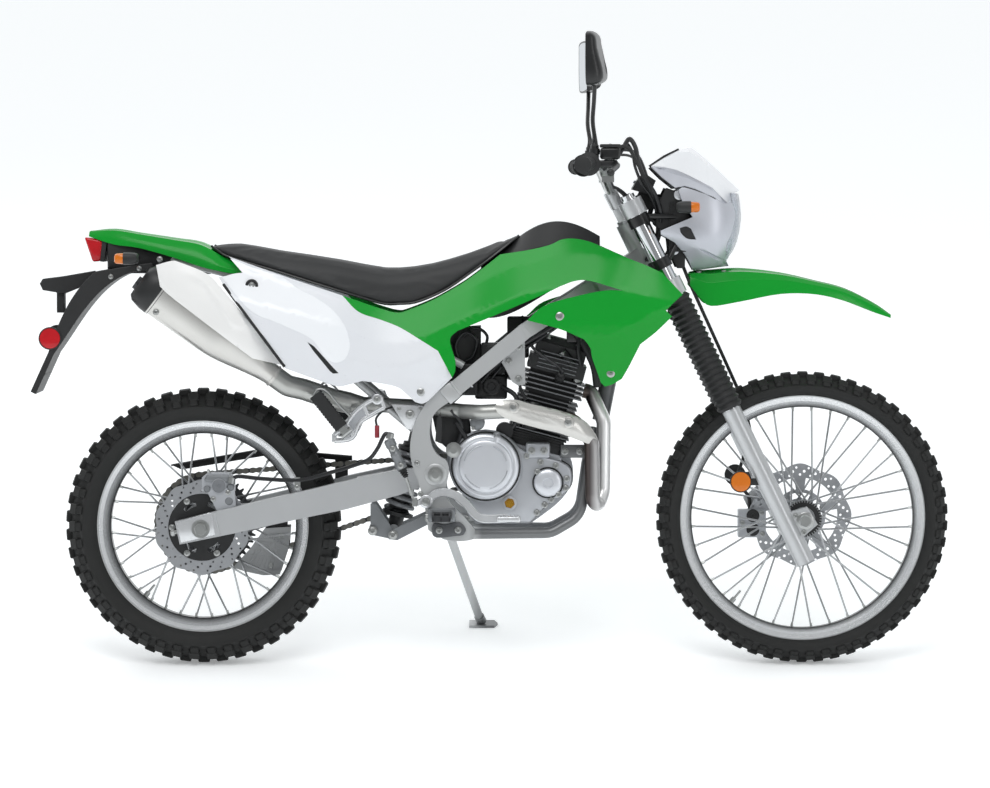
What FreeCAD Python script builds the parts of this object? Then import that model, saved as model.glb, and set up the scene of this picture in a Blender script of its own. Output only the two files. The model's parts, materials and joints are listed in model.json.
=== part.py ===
import FreeCAD, Part
import math
import os

V = FreeCAD.Vector
HEXAGON = [math.pi * k / 3 for k in range(6)]

# Driving dimensions in mm. While it is built the motorcycle stands upright: x runs forward,
# y to its left, z up. The frame is drawn about the fork, so a longer wheelbase is a longer swingarm,
# and a larger tyre lifts the motorcycle when it is parked. ROWS are the rows of lugs round a tyre.
WHEELBASE = 1380.0
FRONT_AXLE_X = 1380.0
FRONT_AXLE_Z = 337.0
REAR_AXLE_Z = 318.0
FRONT_R = 337.0
REAR_R = 318.0
FRONT_CROWN = 45.0
REAR_CROWN = 60.0
FRONT_ROWS = 54
REAR_ROWS = 46
FRONT_LUG = 9.0
REAR_LUG = 11.0
RAKE = 26.1
LEAN = 10.5
FIT = 0.3

# Fork, seen along its own legs: the axle leads the legs, the legs lead the steering axis.
AXLE_LEAD = 40.4
CLAMP_OFFSET = 24.0
LEG_Y = 100.0
TUBE_R = 20.5
SLIDER_R = 22.0
BOOT_R = 31.0
SLIDER_FOOT = -88.0
SLIDER_TOP = 303.0
BOOT_TOP = 589.0
LOWER_CLAMP = (592.0, 630.0)
UPPER_CLAMP = (795.0, 832.0)
STEM_R = 14.0
STEM_SWEEP = 42.0
HEAD = (640.0, 788.0)

# Rear suspension and engine.
PIVOT = (537.0, 444.0)
ARM_DRAWN_Z = 318.0
ARM_IN = 76.0
ARM_OUT = 104.0
CAST_IN = 106.0
CAST_OUT = 136.0
CHAIN_Y = 62.0
SPROCKET_R = 119.0
FRONT_SPROCKET = (600.0, 441.0)
FRONT_SPROCKET_R = 35.7
CYL_BASE = (765.0, 505.0)
CYL_LEAN = 15.0
ENGINE_BOLT = (578.0, 500.0)

# Side stand: pivot on the left frame side, foot where it meets the ground once parked.
STAND_PIVOT = (560.0, 158.0, 298.0)
STAND_FOOT = (640.0, 302.0)
STAND_FOLDED = (-1.0, 0.02, 0.10)

# Where the lugs lie across the tread, in degrees of its curve, and their share of a row's length.
LUG_HALF = 19.0
LUG_INNER = 31.0
LUG_OUTER = 56.0
LUG_SHARE = 0.56

# Top of the post that carries the rear fender.
FENDER_POST = 973.0

# Number plate's seat on the rear blade.
PLATE_LOW = (-390.0, 630.0)
PLATE_HIGH = (-349.0, 720.0)
PLATE_BOLTS = 140.0
PLATE_HOLE_R = 3.5

# Foot pegs: the rider's fold up about x, the passenger's are stored folded back.
RIDER_HINGE = (551.0, 152.0, 352.0)
PEG_HINGE = (334.0, 143.0, 540.0)
PEG_LOOP = (115.0, 122.7)
PEG_STOWED = (-0.62, 0.0, 0.785)

FORK_UP = V(-math.sin(math.radians(RAKE)), 0, math.cos(math.radians(RAKE)))
FORK_FWD = V(math.cos(math.radians(RAKE)), 0, math.sin(math.radians(RAKE)))
FRONT_AXLE = V(FRONT_AXLE_X, 0, FRONT_AXLE_Z)
REAR_AXLE = V(FRONT_AXLE_X - WHEELBASE, 0, REAR_AXLE_Z)
LEG_FOOT = FRONT_AXLE - FORK_FWD * AXLE_LEAD
STEER_FOOT = LEG_FOOT - FORK_FWD * CLAMP_OFFSET
SIDE = V(0, 1, 0)
MUFFLER_REAR = V(-90, -140, 857)
MUFFLER_FRONT = V(172, -108, 665)
OUTLET_R = 14.0
OUTLET_DROP = 26.0
HEADER_R = 17.0
MID_PIPE_R = 24.5


def box(x0, x1, y0, y1, z0, z1):
    return Part.makeBox(x1 - x0, y1 - y0, z1 - z0, V(x0, y0, z0))


def rod(p, q, r):
    return Part.makeCylinder(r, (q - p).Length, p, q - p)


def ring(p, q, r_out, r_in):
    return rod(p, q, r_out).cut(rod(p, q, r_in))


def cone(p, q, r0, r1):
    return Part.makeCone(r0, r1, (q - p).Length, p, q - p)


def across(x, z, y0, y1, r):
    return rod(V(x, y0, z), V(x, y1, z), r)


def fuse(shapes):
    whole = shapes[0].multiFuse(shapes[1:])
    return whole.removeSplitter()


def mirrored(shape):
    return shape.mirror(V(0, 0, 0), SIDE)


def pair(shape):
    return Part.makeCompound([shape, mirrored(shape)])


def unit(v):
    return V(v) * (1.0 / v.Length)


# A closed outline in the xz plane: a run of two points is a line, a longer run a smooth curve.
def outline(runs, y):
    edges = []
    for run in runs:
        points = [V(x, y, z) for x, z in run]
        if len(points) == 2:
            edges.append(Part.LineSegment(points[0], points[1]).toShape())
        else:
            curve = Part.BSplineCurve()
            curve.interpolate(points)
            edges.append(curve.toShape())
    return Part.Wire(edges)


def shaped(runs, y0, y1):
    return Part.Face(outline(runs, y0)).extrude(V(0, y1 - y0, 0))


def slab(points, y0, y1):
    corners = [V(x, y0, z) for x, z in points]
    return Part.Face(Part.makePolygon(corners + corners[:1])).extrude(V(0, y1 - y0, 0))


# A plate lying in any plane, pushed along its normal.
def plate(corners, push):
    return Part.Face(Part.makePolygon(corners + corners[:1])).extrude(push)


# Loft through closed many-cornered sections, each given at one x as (y, z) corners.
def loft(stations, ruled=False):
    wires = []
    for x, corners in stations:
        points = [V(x, y, z) for y, z in corners]
        wires.append(Part.makePolygon(points + points[:1]))
    return Part.makeLoft(wires, True, ruled)


# Loft through domed sections: flat below, rounded over the top.
def domed(stations):
    wires = []
    for x, half, low, high in stations:
        side = (high - low) * 0.55 + low
        top = [V(x, half, low), V(x, half * 1.0, side), V(x, half * 0.72, high - (high - low) * 0.12),
               V(x, 0, high), V(x, -half * 0.72, high - (high - low) * 0.12),
               V(x, -half * 1.0, side), V(x, -half, low)]
        curve = Part.BSplineCurve()
        curve.interpolate(top)
        base = Part.LineSegment(top[-1], top[0]).toShape()
        wires.append(Part.Wire([curve.toShape(), base]))
    return Part.makeLoft(wires, True, False)


# Straight runs joined by tangent bends.
def route(points, bend):
    edges = []
    start = points[0]
    for i in range(1, len(points) - 1):
        back = unit(points[i - 1] - points[i])
        ahead = unit(points[i + 1] - points[i])
        half = back.getAngle(ahead) / 2.0
        room = 0.48 * min((points[i - 1] - points[i]).Length, (points[i + 1] - points[i]).Length)
        cut = min(bend / math.tan(half), room)
        bisector = unit(back + ahead)
        centre = points[i] + bisector * (cut / math.cos(half))
        first = points[i] + back * cut
        last = points[i] + ahead * cut
        middle = centre - bisector * (cut * math.tan(half))
        edges.append(Part.LineSegment(start, first).toShape())
        edges.append(Part.Arc(first, middle, last).toShape())
        start = last
    edges.append(Part.LineSegment(start, points[-1]).toShape())
    return Part.Wire(edges)


def pipe(points, r, bend):
    path = route(points, bend)
    circle = Part.Wire(Part.makeCircle(r, points[0], points[1] - points[0]))
    return path.makePipeShell([circle], True, False)


# A solid of revolution about an axle along y: corners are (y, radius).
def turned(axle, corners):
    points = [V(axle.x, y, axle.z + r) for y, r in corners]
    face = Part.Face(Part.makePolygon(points + points[:1]))
    return face.revolve(axle, SIDE, 360)


def along(s, forward=0.0, y=0.0):
    return LEG_FOOT + FORK_UP * s + FORK_FWD * forward + V(0, y, 0)


def steer(s, forward=0.0, y=0.0):
    return STEER_FOOT + FORK_UP * s + FORK_FWD * forward + V(0, y, 0)


# Wheels.

# A tyre with its lugs in one skin of flat faces: rows of centre lugs, and shoulder lugs between them.
# crown is the radius of the tread's curve across; seat and wide are (y, radius) at the rim's edge and
# where the tyre is widest. half is half a lug's length, as an angle round the axle.
def tyre(axle, radius, crown, lug, rows, seat, wide):
    pitch = 360.0 / rows
    half = pitch * LUG_SHARE / 2

    def spot(r, across_angle):
        a = math.radians(across_angle)
        return r * math.sin(a), radius - crown + r * math.cos(a)

    def corner(at, turn):
        a = math.radians(turn)
        return V(axle.x + at[1] * math.sin(a), at[0], axle.z + at[1] * math.cos(a))

    def strip(a, b, turns):
        return [flat([corner(a, s), corner(a, e), corner(b, e), corner(b, s)]) for s, e in zip(turns, turns[1:])]

    def block(a0, a1, start, end):
        f0, f1, t0, t1 = spot(crown - lug, a0), spot(crown - lug, a1), spot(crown, a0), spot(crown, a1)
        ends = [flat([corner(f0, t), corner(f1, t), corner(t1, t), corner(t0, t)]) for t in (start, end)]
        return ends + strip(f0, t0, [start, end]) + strip(t0, t1, [start, end]) + strip(t1, f1, [start, end])

    row = [-half, half, pitch - half]
    gap = [t + pitch / 2 for t in row]
    faces = block(-LUG_HALF, LUG_HALF, row[0], row[1])
    faces += strip(spot(crown - lug, -LUG_HALF), spot(crown - lug, LUG_HALF), row[1:])
    for side in (-1, 1):
        base, inner, outer = [spot(crown - lug, side * a) for a in (LUG_HALF, LUG_INNER, LUG_OUTER)]
        n = [corner(base, t) for t in row]
        f = [corner(inner, t) for t in gap]
        faces += [flat([n[0], f[0], f[1]]), flat([n[0], f[1], n[1]]), flat([n[1], f[1], n[2]]), flat([n[2], f[1], f[2]])]
        faces += block(side * LUG_INNER, side * LUG_OUTER, gap[0], gap[1])
        faces += strip(inner, outer, gap[1:])
        n = [corner(outer, t) for t in gap]
        f = [corner((side * wide[0], wide[1]), t) for t in (gap[0], gap[2])]
        faces += [flat([n[0], f[0], n[1]]), flat([n[1], f[0], f[1]]), flat([n[1], f[1], n[2]])]
        faces += strip((side * wide[0], wide[1]), (side * seat[0], seat[1]), [gap[0], gap[2]])
    faces += strip((-seat[0], seat[1]), seat, [gap[0], gap[2]])
    return patterned(faces, axle, rows)


def flat(corners):
    return Part.Face(Part.makePolygon(corners + corners[:1]))


# One sector's faces repeated round an axle and joined into a solid.
def patterned(faces, axle, count):
    skin = []
    for k in range(count):
        for face in faces:
            copy = face.copy()
            copy.rotate(axle, SIDE, 360.0 * k / count)
            skin.append(copy)
    shell = Part.makeShell(skin)
    shell.sewShape()
    solid = Part.makeSolid(Part.makeShell(shell.Faces))
    return solid if solid.Volume > 0 else solid.reversed()


def rim(axle, r_out, r_in, half):
    return turned(axle, [(-half, r_out), (-half + 3.5, r_out), (-half + 4.5, r_out - 11), (-half * 0.45, r_out - 19),
                         (half * 0.45, r_out - 19), (half - 4.5, r_out - 11), (half - 3.5, r_out), (half, r_out),
                         (half - 1.5, r_out - 13), (half * 0.42, r_in), (-half * 0.42, r_in),
                         (-half + 1.5, r_out - 13)])


def spokes(axle, flange_r, flange_y, rim_r, count):
    rods = []
    per_side = count // 2
    for i in range(count):
        side = 1 if i % 2 == 0 else -1
        lead = 1 if (i // 2) % 2 == 0 else -1
        at = math.radians(360.0 * (i + 0.5) / count)
        hub_at = at + lead * math.radians(62)
        y = side * (flange_y + 2.2 * lead)
        p = V(axle.x + flange_r * math.sin(hub_at), y, axle.z + flange_r * math.cos(hub_at))
        q = V(axle.x + rim_r * math.sin(at), side * 4.0, axle.z + rim_r * math.cos(at))
        d = unit(q - p)
        u = unit(d.cross(SIDE))
        w = d.cross(u)
        corners = [p + u * 2.2 * math.cos(k * math.pi / 3) + w * 2.2 * math.sin(k * math.pi / 3) for k in range(6)]
        rods.append(plate(corners, q - p))
    return rods


# A brake disc with a wavy rim, holes left to the looks, and a carrier towards the hub.
def wave_disc(axle, r_mid, wave, lobes, r_in, y, thick):
    points = []
    for k in range(lobes * 4):
        a = 2 * math.pi * k / (lobes * 4)
        r = r_mid + wave * math.cos(lobes * a)
        points.append(V(axle.x + r * math.sin(a), y - thick / 2, axle.z + r * math.cos(a)))
    curve = Part.BSplineCurve()
    curve.interpolate(points, True)
    face = Part.Face(Part.Wire([curve.toShape()]))
    disc = face.extrude(V(0, thick, 0))
    return disc.cut(across(axle.x, axle.z, y - thick, y + thick, r_in))


def front_wheel_parts():
    axle = FRONT_AXLE
    tyre_ring = tyre(axle, FRONT_R, FRONT_CROWN, FRONT_LUG, FRONT_ROWS, (27.5, 283.0), (39.5, FRONT_R - 32))
    bore = 9 + FIT
    hub = turned(axle, [(-46, bore), (-46, 22), (-34, 22), (-33, 33), (-27, 33), (-25, 21), (25, 21), (27, 33),
                        (33, 33), (34, 26), (52, 26), (52, bore)])
    wire = fuse([hub] + spokes(axle, 29.0, 30.0, 255 - 0.6, 36))
    disc = wave_disc(axle, 116.0, 4.0, 8, 86.0, 62.0, 4.0)
    arms = []
    for k in range(5):
        a = math.radians(72.0 * k)
        mid = V(axle.x + 60 * math.sin(a), 62, axle.z + 60 * math.cos(a))
        arm = Part.makeBox(16, 4, 76, V(-8, -2, -38))
        arm.rotate(V(0, 0, 0), SIDE, 72.0 * k)
        arm.translate(mid)
        arms.append(arm)
    boss = ring(V(axle.x, 52 + FIT, axle.z), V(axle.x, 64, axle.z), 34, 10)
    sensor = ring(V(axle.x, -46, axle.z), V(axle.x, -51, axle.z), 42, 10)
    return {
        "front_tyre": tyre_ring,
        "front_rim": rim(axle, 282.0, 255.0, 26.0),
        "front_spokes": fuse([wire, sensor]),
        "front_disc": fuse([disc, boss] + arms),
    }


def rear_wheel_parts():
    axle = REAR_AXLE
    tyre_ring = tyre(axle, REAR_R, REAR_CROWN, REAR_LUG, REAR_ROWS, (37.5, 243.9), (53, REAR_R - 44))
    bore = 10 + FIT
    hub = turned(axle, [(-50, bore), (-50, 40), (-38, 40), (-37, 52), (-31, 52), (-29, 34), (29, 34), (31, 52),
                        (37, 52), (38, 44), (52, 44), (52, bore)])
    wire = fuse([hub] + spokes(axle, 47.0, 34.0, 213 - 1.0, 36))
    disc = wave_disc(axle, 107.0, 3.0, 10, 77.0, -62.0, 5.0)
    carrier = ring(V(axle.x, -64.5, axle.z), V(axle.x, -50 - FIT, axle.z), 77.0, 14)
    teeth = 45
    wheel = across(axle.x, axle.z, CHAIN_Y - 3, CHAIN_Y + 3, SPROCKET_R - 9)
    tooth = slab([(axle.x - 4.6, axle.z + SPROCKET_R - 11), (axle.x + 4.6, axle.z + SPROCKET_R - 11),
                  (axle.x + 1.8, axle.z + SPROCKET_R), (axle.x - 1.8, axle.z + SPROCKET_R)], CHAIN_Y - 3, CHAIN_Y + 3)
    row = []
    for k in range(teeth):
        one = tooth.copy()
        one.rotate(axle, SIDE, 360.0 * k / teeth)
        row.append(one)
    wheel = fuse([wheel] + row)
    for k in range(6):
        a = math.radians(60.0 * k)
        spot = (axle.x + 82 * math.sin(a), axle.z + 82 * math.cos(a))
        wheel = wheel.cut(across(spot[0], spot[1], CHAIN_Y - 9, CHAIN_Y + 9, 15))
    boss = ring(V(axle.x, 52 + FIT, axle.z), V(axle.x, CHAIN_Y + 3, axle.z), 58, 14)
    return {
        "rear_tyre": tyre_ring,
        "rear_rim": rim(axle, 243.0, 213.0, 36.0),
        "rear_spokes": wire,
        "rear_disc": fuse([disc, carrier]),
        "sprocket": fuse([wheel, boss]).cut(across(axle.x, axle.z, 40, 80, 14)),
    }


# Fork and all it carries.

def clamp_plate(s0, s1):
    up = FORK_UP * (s1 - s0)
    bosses = []
    for y in (-LEG_Y, LEG_Y):
        bosses.append(rod(along(s0, 0, y), along(s1, 0, y), TUBE_R + 8))
    middle = [steer(s0, -18, -18), steer(s0, -18, 18), along(s0, -14, LEG_Y - 8), along(s0, 18, LEG_Y - 8),
              along(s0, 22, 40), along(s0, 22, -40), along(s0, 18, -LEG_Y + 8), along(s0, -14, -LEG_Y + 8)]
    body = fuse(bosses + [plate(middle, up)])
    for y in (-LEG_Y, LEG_Y):
        body = body.cut(rod(along(s0 - 5, 0, y), along(s1 + 5, 0, y), TUBE_R + FIT))
    return body


def triple_clamps():
    lower = clamp_plate(LOWER_CLAMP[0], LOWER_CLAMP[1])
    upper = clamp_plate(UPPER_CLAMP[0], UPPER_CLAMP[1])
    stem = rod(steer(LOWER_CLAMP[0] + 5), steer(UPPER_CLAMP[1] + 9), STEM_R)
    nut = rod(steer(UPPER_CLAMP[1]), steer(UPPER_CLAMP[1] + 12), 19)
    races = [rod(steer(LOWER_CLAMP[1] - 2), steer(HEAD[0] - FIT), 22), rod(steer(HEAD[1] + FIT), steer(UPPER_CLAMP[0] + 2), 22)]
    risers = []
    for y in (-48, 48):
        foot = steer(UPPER_CLAMP[1] - 4, -4, y)
        risers.append(rod(foot, V(936, y, 1086), 15))
    shape = fuse([lower, upper, stem, nut] + races + risers)
    return shape.cut(bar_shape(0.0))


def fork_tubes():
    legs = []
    for y in (-LEG_Y, LEG_Y):
        tube = rod(along(SLIDER_TOP + FIT, 0, y), along(UPPER_CLAMP[1] + 4, 0, y), TUBE_R)
        cap = rod(along(UPPER_CLAMP[1] + 4, 0, y), along(UPPER_CLAMP[1] + 13, 0, y), TUBE_R - 4)
        legs.append(fuse([tube, cap]))
    return Part.makeCompound(legs)


# Rubber bellows: one zigzag profile turned about the leg.
def boot(y):
    ribs = 20
    low = SLIDER_TOP + 2
    step = (BOOT_TOP - low) / ribs
    points = [along(low, TUBE_R + FIT, y)]
    for i in range(ribs):
        points.append(along(low + step * i, BOOT_R - 5, y))
        points.append(along(low + step * (i + 0.5), BOOT_R, y))
    points.append(along(BOOT_TOP, BOOT_R - 5, y))
    points.append(along(BOOT_TOP, TUBE_R + FIT, y))
    face = Part.Face(Part.makePolygon(points + points[:1]))
    return face.revolve(along(0, 0, y), FORK_UP, 360)


def fork_boots():
    return Part.makeCompound([boot(-LEG_Y), boot(LEG_Y)])


def fork_sliders():
    legs = []
    for y in (-LEG_Y, LEG_Y):
        side = 1 if y > 0 else -1
        leg = rod(along(SLIDER_FOOT, 0, y), along(SLIDER_TOP, 0, y), SLIDER_R)
        lug = plate([along(-34, 10, y - 13), along(34, 10, y - 13), along(26, AXLE_LEAD + 18, y - 13),
                     along(-20, AXLE_LEAD + 22, y - 13)], V(0, 26, 0))
        legs.append(fuse([leg, lug]))
    pieces = []
    axle = rod(V(FRONT_AXLE.x, -LEG_Y - 16, FRONT_AXLE.z), V(FRONT_AXLE.x, LEG_Y + 16, FRONT_AXLE.z), 9)
    nut = rod(V(FRONT_AXLE.x, -LEG_Y - 20, FRONT_AXLE.z), V(FRONT_AXLE.x, -LEG_Y - 12, FRONT_AXLE.z), 14)
    ears = [plate([along(40, -12, 84), along(105, -12, 84), along(92, -60, 84), along(40, -60, 84)], V(0, 10, 0))]
    return fuse(legs + [axle, nut] + ears)


def bar_points(side):
    return [V(936, 0, 1090), V(936, side * 75, 1090), V(914, side * 155, 1142), V(892, side * 200, 1150),
            V(866, side * 405, 1146)]


# A point on the straight outer end of the bar, at a distance from its last bend.
def bar_end(side, t):
    p, q = bar_points(side)[3], bar_points(side)[4]
    return p + unit(q - p) * t


def bar_shape(extra):
    left = pipe(bar_points(1), 11.1 + extra, 60)
    right = pipe(bar_points(-1), 11.1 + extra, 60)
    return fuse([left, right])


def handlebar():
    bar = bar_shape(0.0)
    brace = rod(V(928, -140, 1121), V(928, 140, 1121), 6.5)
    pads = [box(914, 942, y - 12, y + 12, 1108, 1134) for y in (-132, 132)]
    return fuse([bar, brace] + pads)


def grips():
    shapes = []
    for side in (-1, 1):
        flange = rod(bar_end(side, 84), bar_end(side, 90), 23)
        body = rod(bar_end(side, 90), bar_end(side, 210), 16)
        end = rod(bar_end(side, 210), bar_end(side, 215), 19)
        grip = fuse([flange, body, end])
        shapes.append(grip.cut(rod(bar_end(side, 60), bar_end(side, 206.7), 11.1 + FIT)))
    return Part.makeCompound(shapes)


# Lever, its perch and, on the right, the brake reservoir; on the left, the switch box.
def controls():
    shapes = []
    for side in (-1, 1):
        seat = bar_end(side, 36)
        perch = rod(bar_end(side, 22), bar_end(side, 50), 18)
        arm = box(seat.x - 4, seat.x + 62, side * seat.y - 14, side * seat.y + 14, seat.z - 8, seat.z + 10)
        if side < 0:
            arm = mirrored(arm)
        mirror_boss = rod(seat + V(8, 0, 6), seat + V(8, 0, 34), 10)
        tip = seat + V(40, side * 160, -20)
        lever = pipe([seat + V(54, side * 2, 0), seat + V(58, side * 40, -4), seat + V(48, side * 90, -12), tip], 6.5, 40)
        knob = Part.makeSphere(9.0, tip)
        pieces = [perch, arm, mirror_boss, lever, knob]
        pieces.append(rod(bar_end(side, 50), bar_end(side, 81), 20))
        if side < 0:
            tank = box(seat.x + 20, seat.x + 66, seat.y - 22, seat.y + 30, seat.z + 10, seat.z + 44)
            pieces.append(tank)
        shapes.append(fuse(pieces).cut(rod(bar_end(side, 5), bar_end(side, 130), 11.1 + FIT)))
    return Part.makeCompound(shapes)


def mirrors():
    shapes = []
    for side in (-1, 1):
        foot = bar_end(side, 36) + V(8, 0, 34 + FIT)
        head = V(893, side * 322, 1330)
        stem = pipe([foot, foot + V(0, 0, 24), foot + V(-6, side * 40, 70), head + V(0, 0, 0)], 5.0, 30)
        shell_points = []
        for a, b in ((-52, -46), (-44, -58), (30, -62), (56, -46), (60, 34), (50, 58), (-34, 60), (-54, 40)):
            shell_points.append((side * 322 + a * side, 1382 + b))
        back = [V(880, y, z) for y, z in shell_points]
        front = [V(914, side * 322 + (y - side * 322) * 0.72, 1382 + (z - 1382) * 0.78) for y, z in shell_points]
        shell = Part.makeLoft([Part.makePolygon(back + back[:1]), Part.makePolygon(front + front[:1])], True, True)
        shapes.append(fuse([stem, shell]))
    return Part.makeCompound(shapes)


def cowl_solid(shrink):
    k = shrink
    top = [(1026 + k, 1146 - k), (1049 + k, 1158 - k), (1094, 1180 - k), (1117, 1186 - k), (1133 - k, 1178 - k),
           (1140 - k, 1159 - k), (1174 - k, 1132 - k), (1208 - k, 1098 - k), (1226 - k, 1080)]
    runs = [top,
            [(1226 - k, 1080), (1232 - k, 1045), (1229 - k, 1000), (1216 - k, 960), (1199 - k, 927 + k)],
            [(1199 - k, 927 + k), (1206 - k, 912 + k)], [(1206 - k, 912 + k), (1122 + k, 906 + k)],
            [(1122 + k, 906 + k), (1094 + k, 954)],
            [(1094 + k, 954), (1049 + k, 998)], [(1049 + k, 998), (1122, 1029 + k)],
            [(1122, 1029 + k), (1090 + k, 1091)], [(1090 + k, 1091), (1026 + k, 1146 - k)]]
    side = shaped(runs, -112 + k, 112 - k)
    front = [(-52 + k, 1190), (52 - k, 1190), (84 - k, 1128), (104 - k, 1060), (106 - k, 985), (70 - k, 906 + k),
             (-70 + k, 906 + k), (-106 + k, 985), (-104 + k, 1060), (-84 + k, 1128)]
    corners = [V(1000, y, z) for y, z in front]
    face = Part.Face(Part.makePolygon(corners + corners[:1])).extrude(V(260, 0, 0))
    plan = [V(1000, -112, 880), V(1000, 112, 880), V(1120, 108 - k, 880), V(1185, 88 - k, 880),
            V(1222 - k, 50, 880), V(1236 - k, 0, 880), V(1222 - k, -50, 880), V(1185, -88 + k, 880),
            V(1120, -108 + k, 880)]
    above = Part.Face(Part.makePolygon(plan + plan[:1])).extrude(V(0, 0, 320))
    return side.common(face).common(above)


def headlight_cowl():
    shell = cowl_solid(0.0).cut(cowl_solid(4.0))
    window = rod(V(1150, 0, 1020), V(1260, 0, 1020), 76)
    shell = shell.cut(window)
    back = box(1020, 1126, -93, 93, 900, 1120)
    return shell.cut(back)


def headlight_lens():
    lens = cowl_solid(0.5).cut(cowl_solid(5.0)).common(rod(V(1150, 0, 1020), V(1260, 0, 1020), 76 - FIT))
    return lens


def headlight_bowl():
    bowl = cone(V(1130, 0, 1020), V(1190, 0, 1020), 30, 70)
    hollow = cone(V(1134, 0, 1020), V(1194, 0, 1020), 26, 68)
    back = rod(V(1100, 0, 1020), V(1131, 0, 1020), 32)
    stay = box(1070, 1108, -84, -74, 950, 1062)
    pin = across(1085, 990, 80, 101.6, 6)
    stays = [stay, mirrored(stay), box(1096, 1106, -84, 84, 985, 1010), pin, mirrored(pin)]
    arms = []
    for y in (-LEG_Y, LEG_Y):
        for s in (660, 770):
            arms.append(ring(along(s, 0, y), along(s + 24, 0, y), TUBE_R + 5, TUBE_R + FIT))
            side = 1 if y > 0 else -1
            p = along(s + 12, TUBE_R + 1, y)
            arms.append(rod(p, V(1090, side * 77, 975 + (s - 660) * 0.5), 6))
    whole = fuse([bowl.cut(hollow), back] + stays + arms)
    for y in (-LEG_Y, LEG_Y):
        whole = whole.cut(rod(along(600, 0, y), along(800, 0, y), TUBE_R + FIT))
    return whole


def instrument():
    body = slab([(986, 1092), (1004, 1122), (1016, 1128), (1040, 1112), (1026, 1080)], -52, 52)
    stay = slab([(1014, 1042.6), (1036, 1050), (1030, 1090), (1006, 1092), (997.7, 1075.8)], -20, 20)
    return fuse([body, stay])


# Turn signals: stem, body and lens on each side.
def signal_body(x, y, z, inner_y):
    stem = rod(V(x, inner_y, z), V(x, y - 20, z), 6)
    body = box(x - 16, x + 16, y - 26, y + 40, z - 14, z + 14)
    return fuse([stem, body])


def front_signals():
    body = signal_body(1098, 170, 1052, 84 + FIT)
    return pair(body)


def front_lamps():
    lens = box(1114 + FIT, 1134, 145, 208, 1040, 1065)
    return pair(lens)


# Front fender: a curved blade, deeper at its rear where it meets the lower clamp.
def fender_shell(rows, thick):
    outer = []
    for x, half, edge, high in rows:
        drop = high - edge
        outer.append((x, [(half, edge), (half * 0.9, edge + drop * 0.62), (half * 0.5, high - drop * 0.06), (0, high),
                          (-half * 0.5, high - drop * 0.06), (-half * 0.9, edge + drop * 0.62), (-half, edge),
                          (-half + thick, edge), (-half * 0.9 + thick, edge + drop * 0.62 - thick),
                          (-half * 0.5 + 1, high - drop * 0.06 - thick), (0, high - thick),
                          (half * 0.5 - 1, high - drop * 0.06 - thick), (half * 0.9 - thick, edge + drop * 0.62 - thick),
                          (half - thick, edge)]))
    return loft(outer)


def front_fender():
    rows = [(1118, 66, 872, 900), (1165, 74, 826, 905), (1233, 72, 836, 909), (1325, 66, 853, 899),
            (1405, 58, 852, 881), (1474, 48, 836, 863), (1542, 34, 810, 829), (1580, 20, 797, 803)]
    return fender_shell(rows, 3.0)


def front_caliper():
    body = box(1236, 1300, 44, 84 - FIT, 286, 350)
    slot = box(1230, 1320, 59, 65, 280, 360)
    return body.cut(slot)


def chassis_frame():
    pieces = []
    head = ring(steer(HEAD[0]), steer(HEAD[1]), 27, STEM_R + 4)
    side_path = [V(1004, 16, 940), V(900, 72, 872), V(740, 112, 770), V(566, 118, 626)]
    box_edges = []
    for i in range(3):
        p, q = side_path[i], side_path[i + 1]
        d = unit(q - p)
        up = unit(V(-d.z, 0, d.x)) if d.x > 0 else unit(V(d.z, 0, -d.x))
        p = p - d * 6
        q = q + d * 6
        corners = [p + up * 18 + V(0, -14, 0), p + up * 18 + V(0, 14, 0), p - up * 18 + V(0, 14, 0),
                   p - up * 18 + V(0, -14, 0)]
        box_edges.append(plate(corners, q - p))
    casting = shaped([[(588, 618), (560, 604), (532, 578), (524, 545), (533, 500), (560, 478)],
                      [(560, 478), (566, 440), (560, 402), (575, 372), (600, 350)],
                      [(600, 350), (627, 318)], [(627, 318), (622, 296)],
                      [(622, 296), (560, 296), (520, 318)],
                      [(520, 318), (514, 360), (500, 420), (481, 478), (488, 555), (512, 602), (540, 640)],
                      [(540, 640), (588, 618)]], CAST_IN, CAST_OUT - 6)
    cradle = pipe([V(900, 8, 540), V(884, 44, 462), V(868, 64, 345), V(800, 74, 306), V(600, 112, 307)], 12, 60)
    side = [casting, cradle] + box_edges
    down = pipe([V(1010, 0, 880), V(950, 0, 740), V(915, 0, 560)], 19, 120)
    cross = [across(500, 560, -CAST_IN - 4, CAST_IN + 4, 14), across(600, 322, -CAST_IN - 4, CAST_IN + 4, 12)]
    gusset = slab([(1000, 905), (950, 880), (900, 850), (930, 800), (985, 850)], -6, 6)
    stay = slab([(717, 744), (740, 762), (741, 648), (725, 645), (711, 654), (694, 687), (687, 698)], 93, 100)
    side.append(stay)
    brace = []
    for s in side:
        brace.append(s)
        brace.append(mirrored(s))
    bolt = across(PIVOT[0], PIVOT[1], -CAST_OUT - 2, CAST_OUT + 2, 8)
    frame = fuse([head, down, gusset, bolt, stand_bracket()] + cross + brace + seat_rails())
    frame = frame.cut(rod(steer(HEAD[0] - 60), steer(HEAD[0]), STEM_SWEEP))
    return frame.cut(rod(steer(HEAD[0] - 40), steer(HEAD[1] + 12), STEM_R + 4))


def seat_rails():
    side = [pipe([V(600, 88, 690), V(420, 84, 790), V(120, 78, 885), V(-60, 62, 930)], 9, 80),
            pipe([V(486, 96, 545), V(361, 98, 652), V(180, 84, 800), V(110, 78, 880)], 8.5, 80)]
    loops = [rod(V(-60, -62, 930), V(-60, 62, 930), 9), rod(V(430, -84, 785), V(430, 84, 785), 8)]
    post = box(-66, -54, -18, 18, 925, FENDER_POST)
    return side + [mirrored(s) for s in side] + loops + [post]


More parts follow.
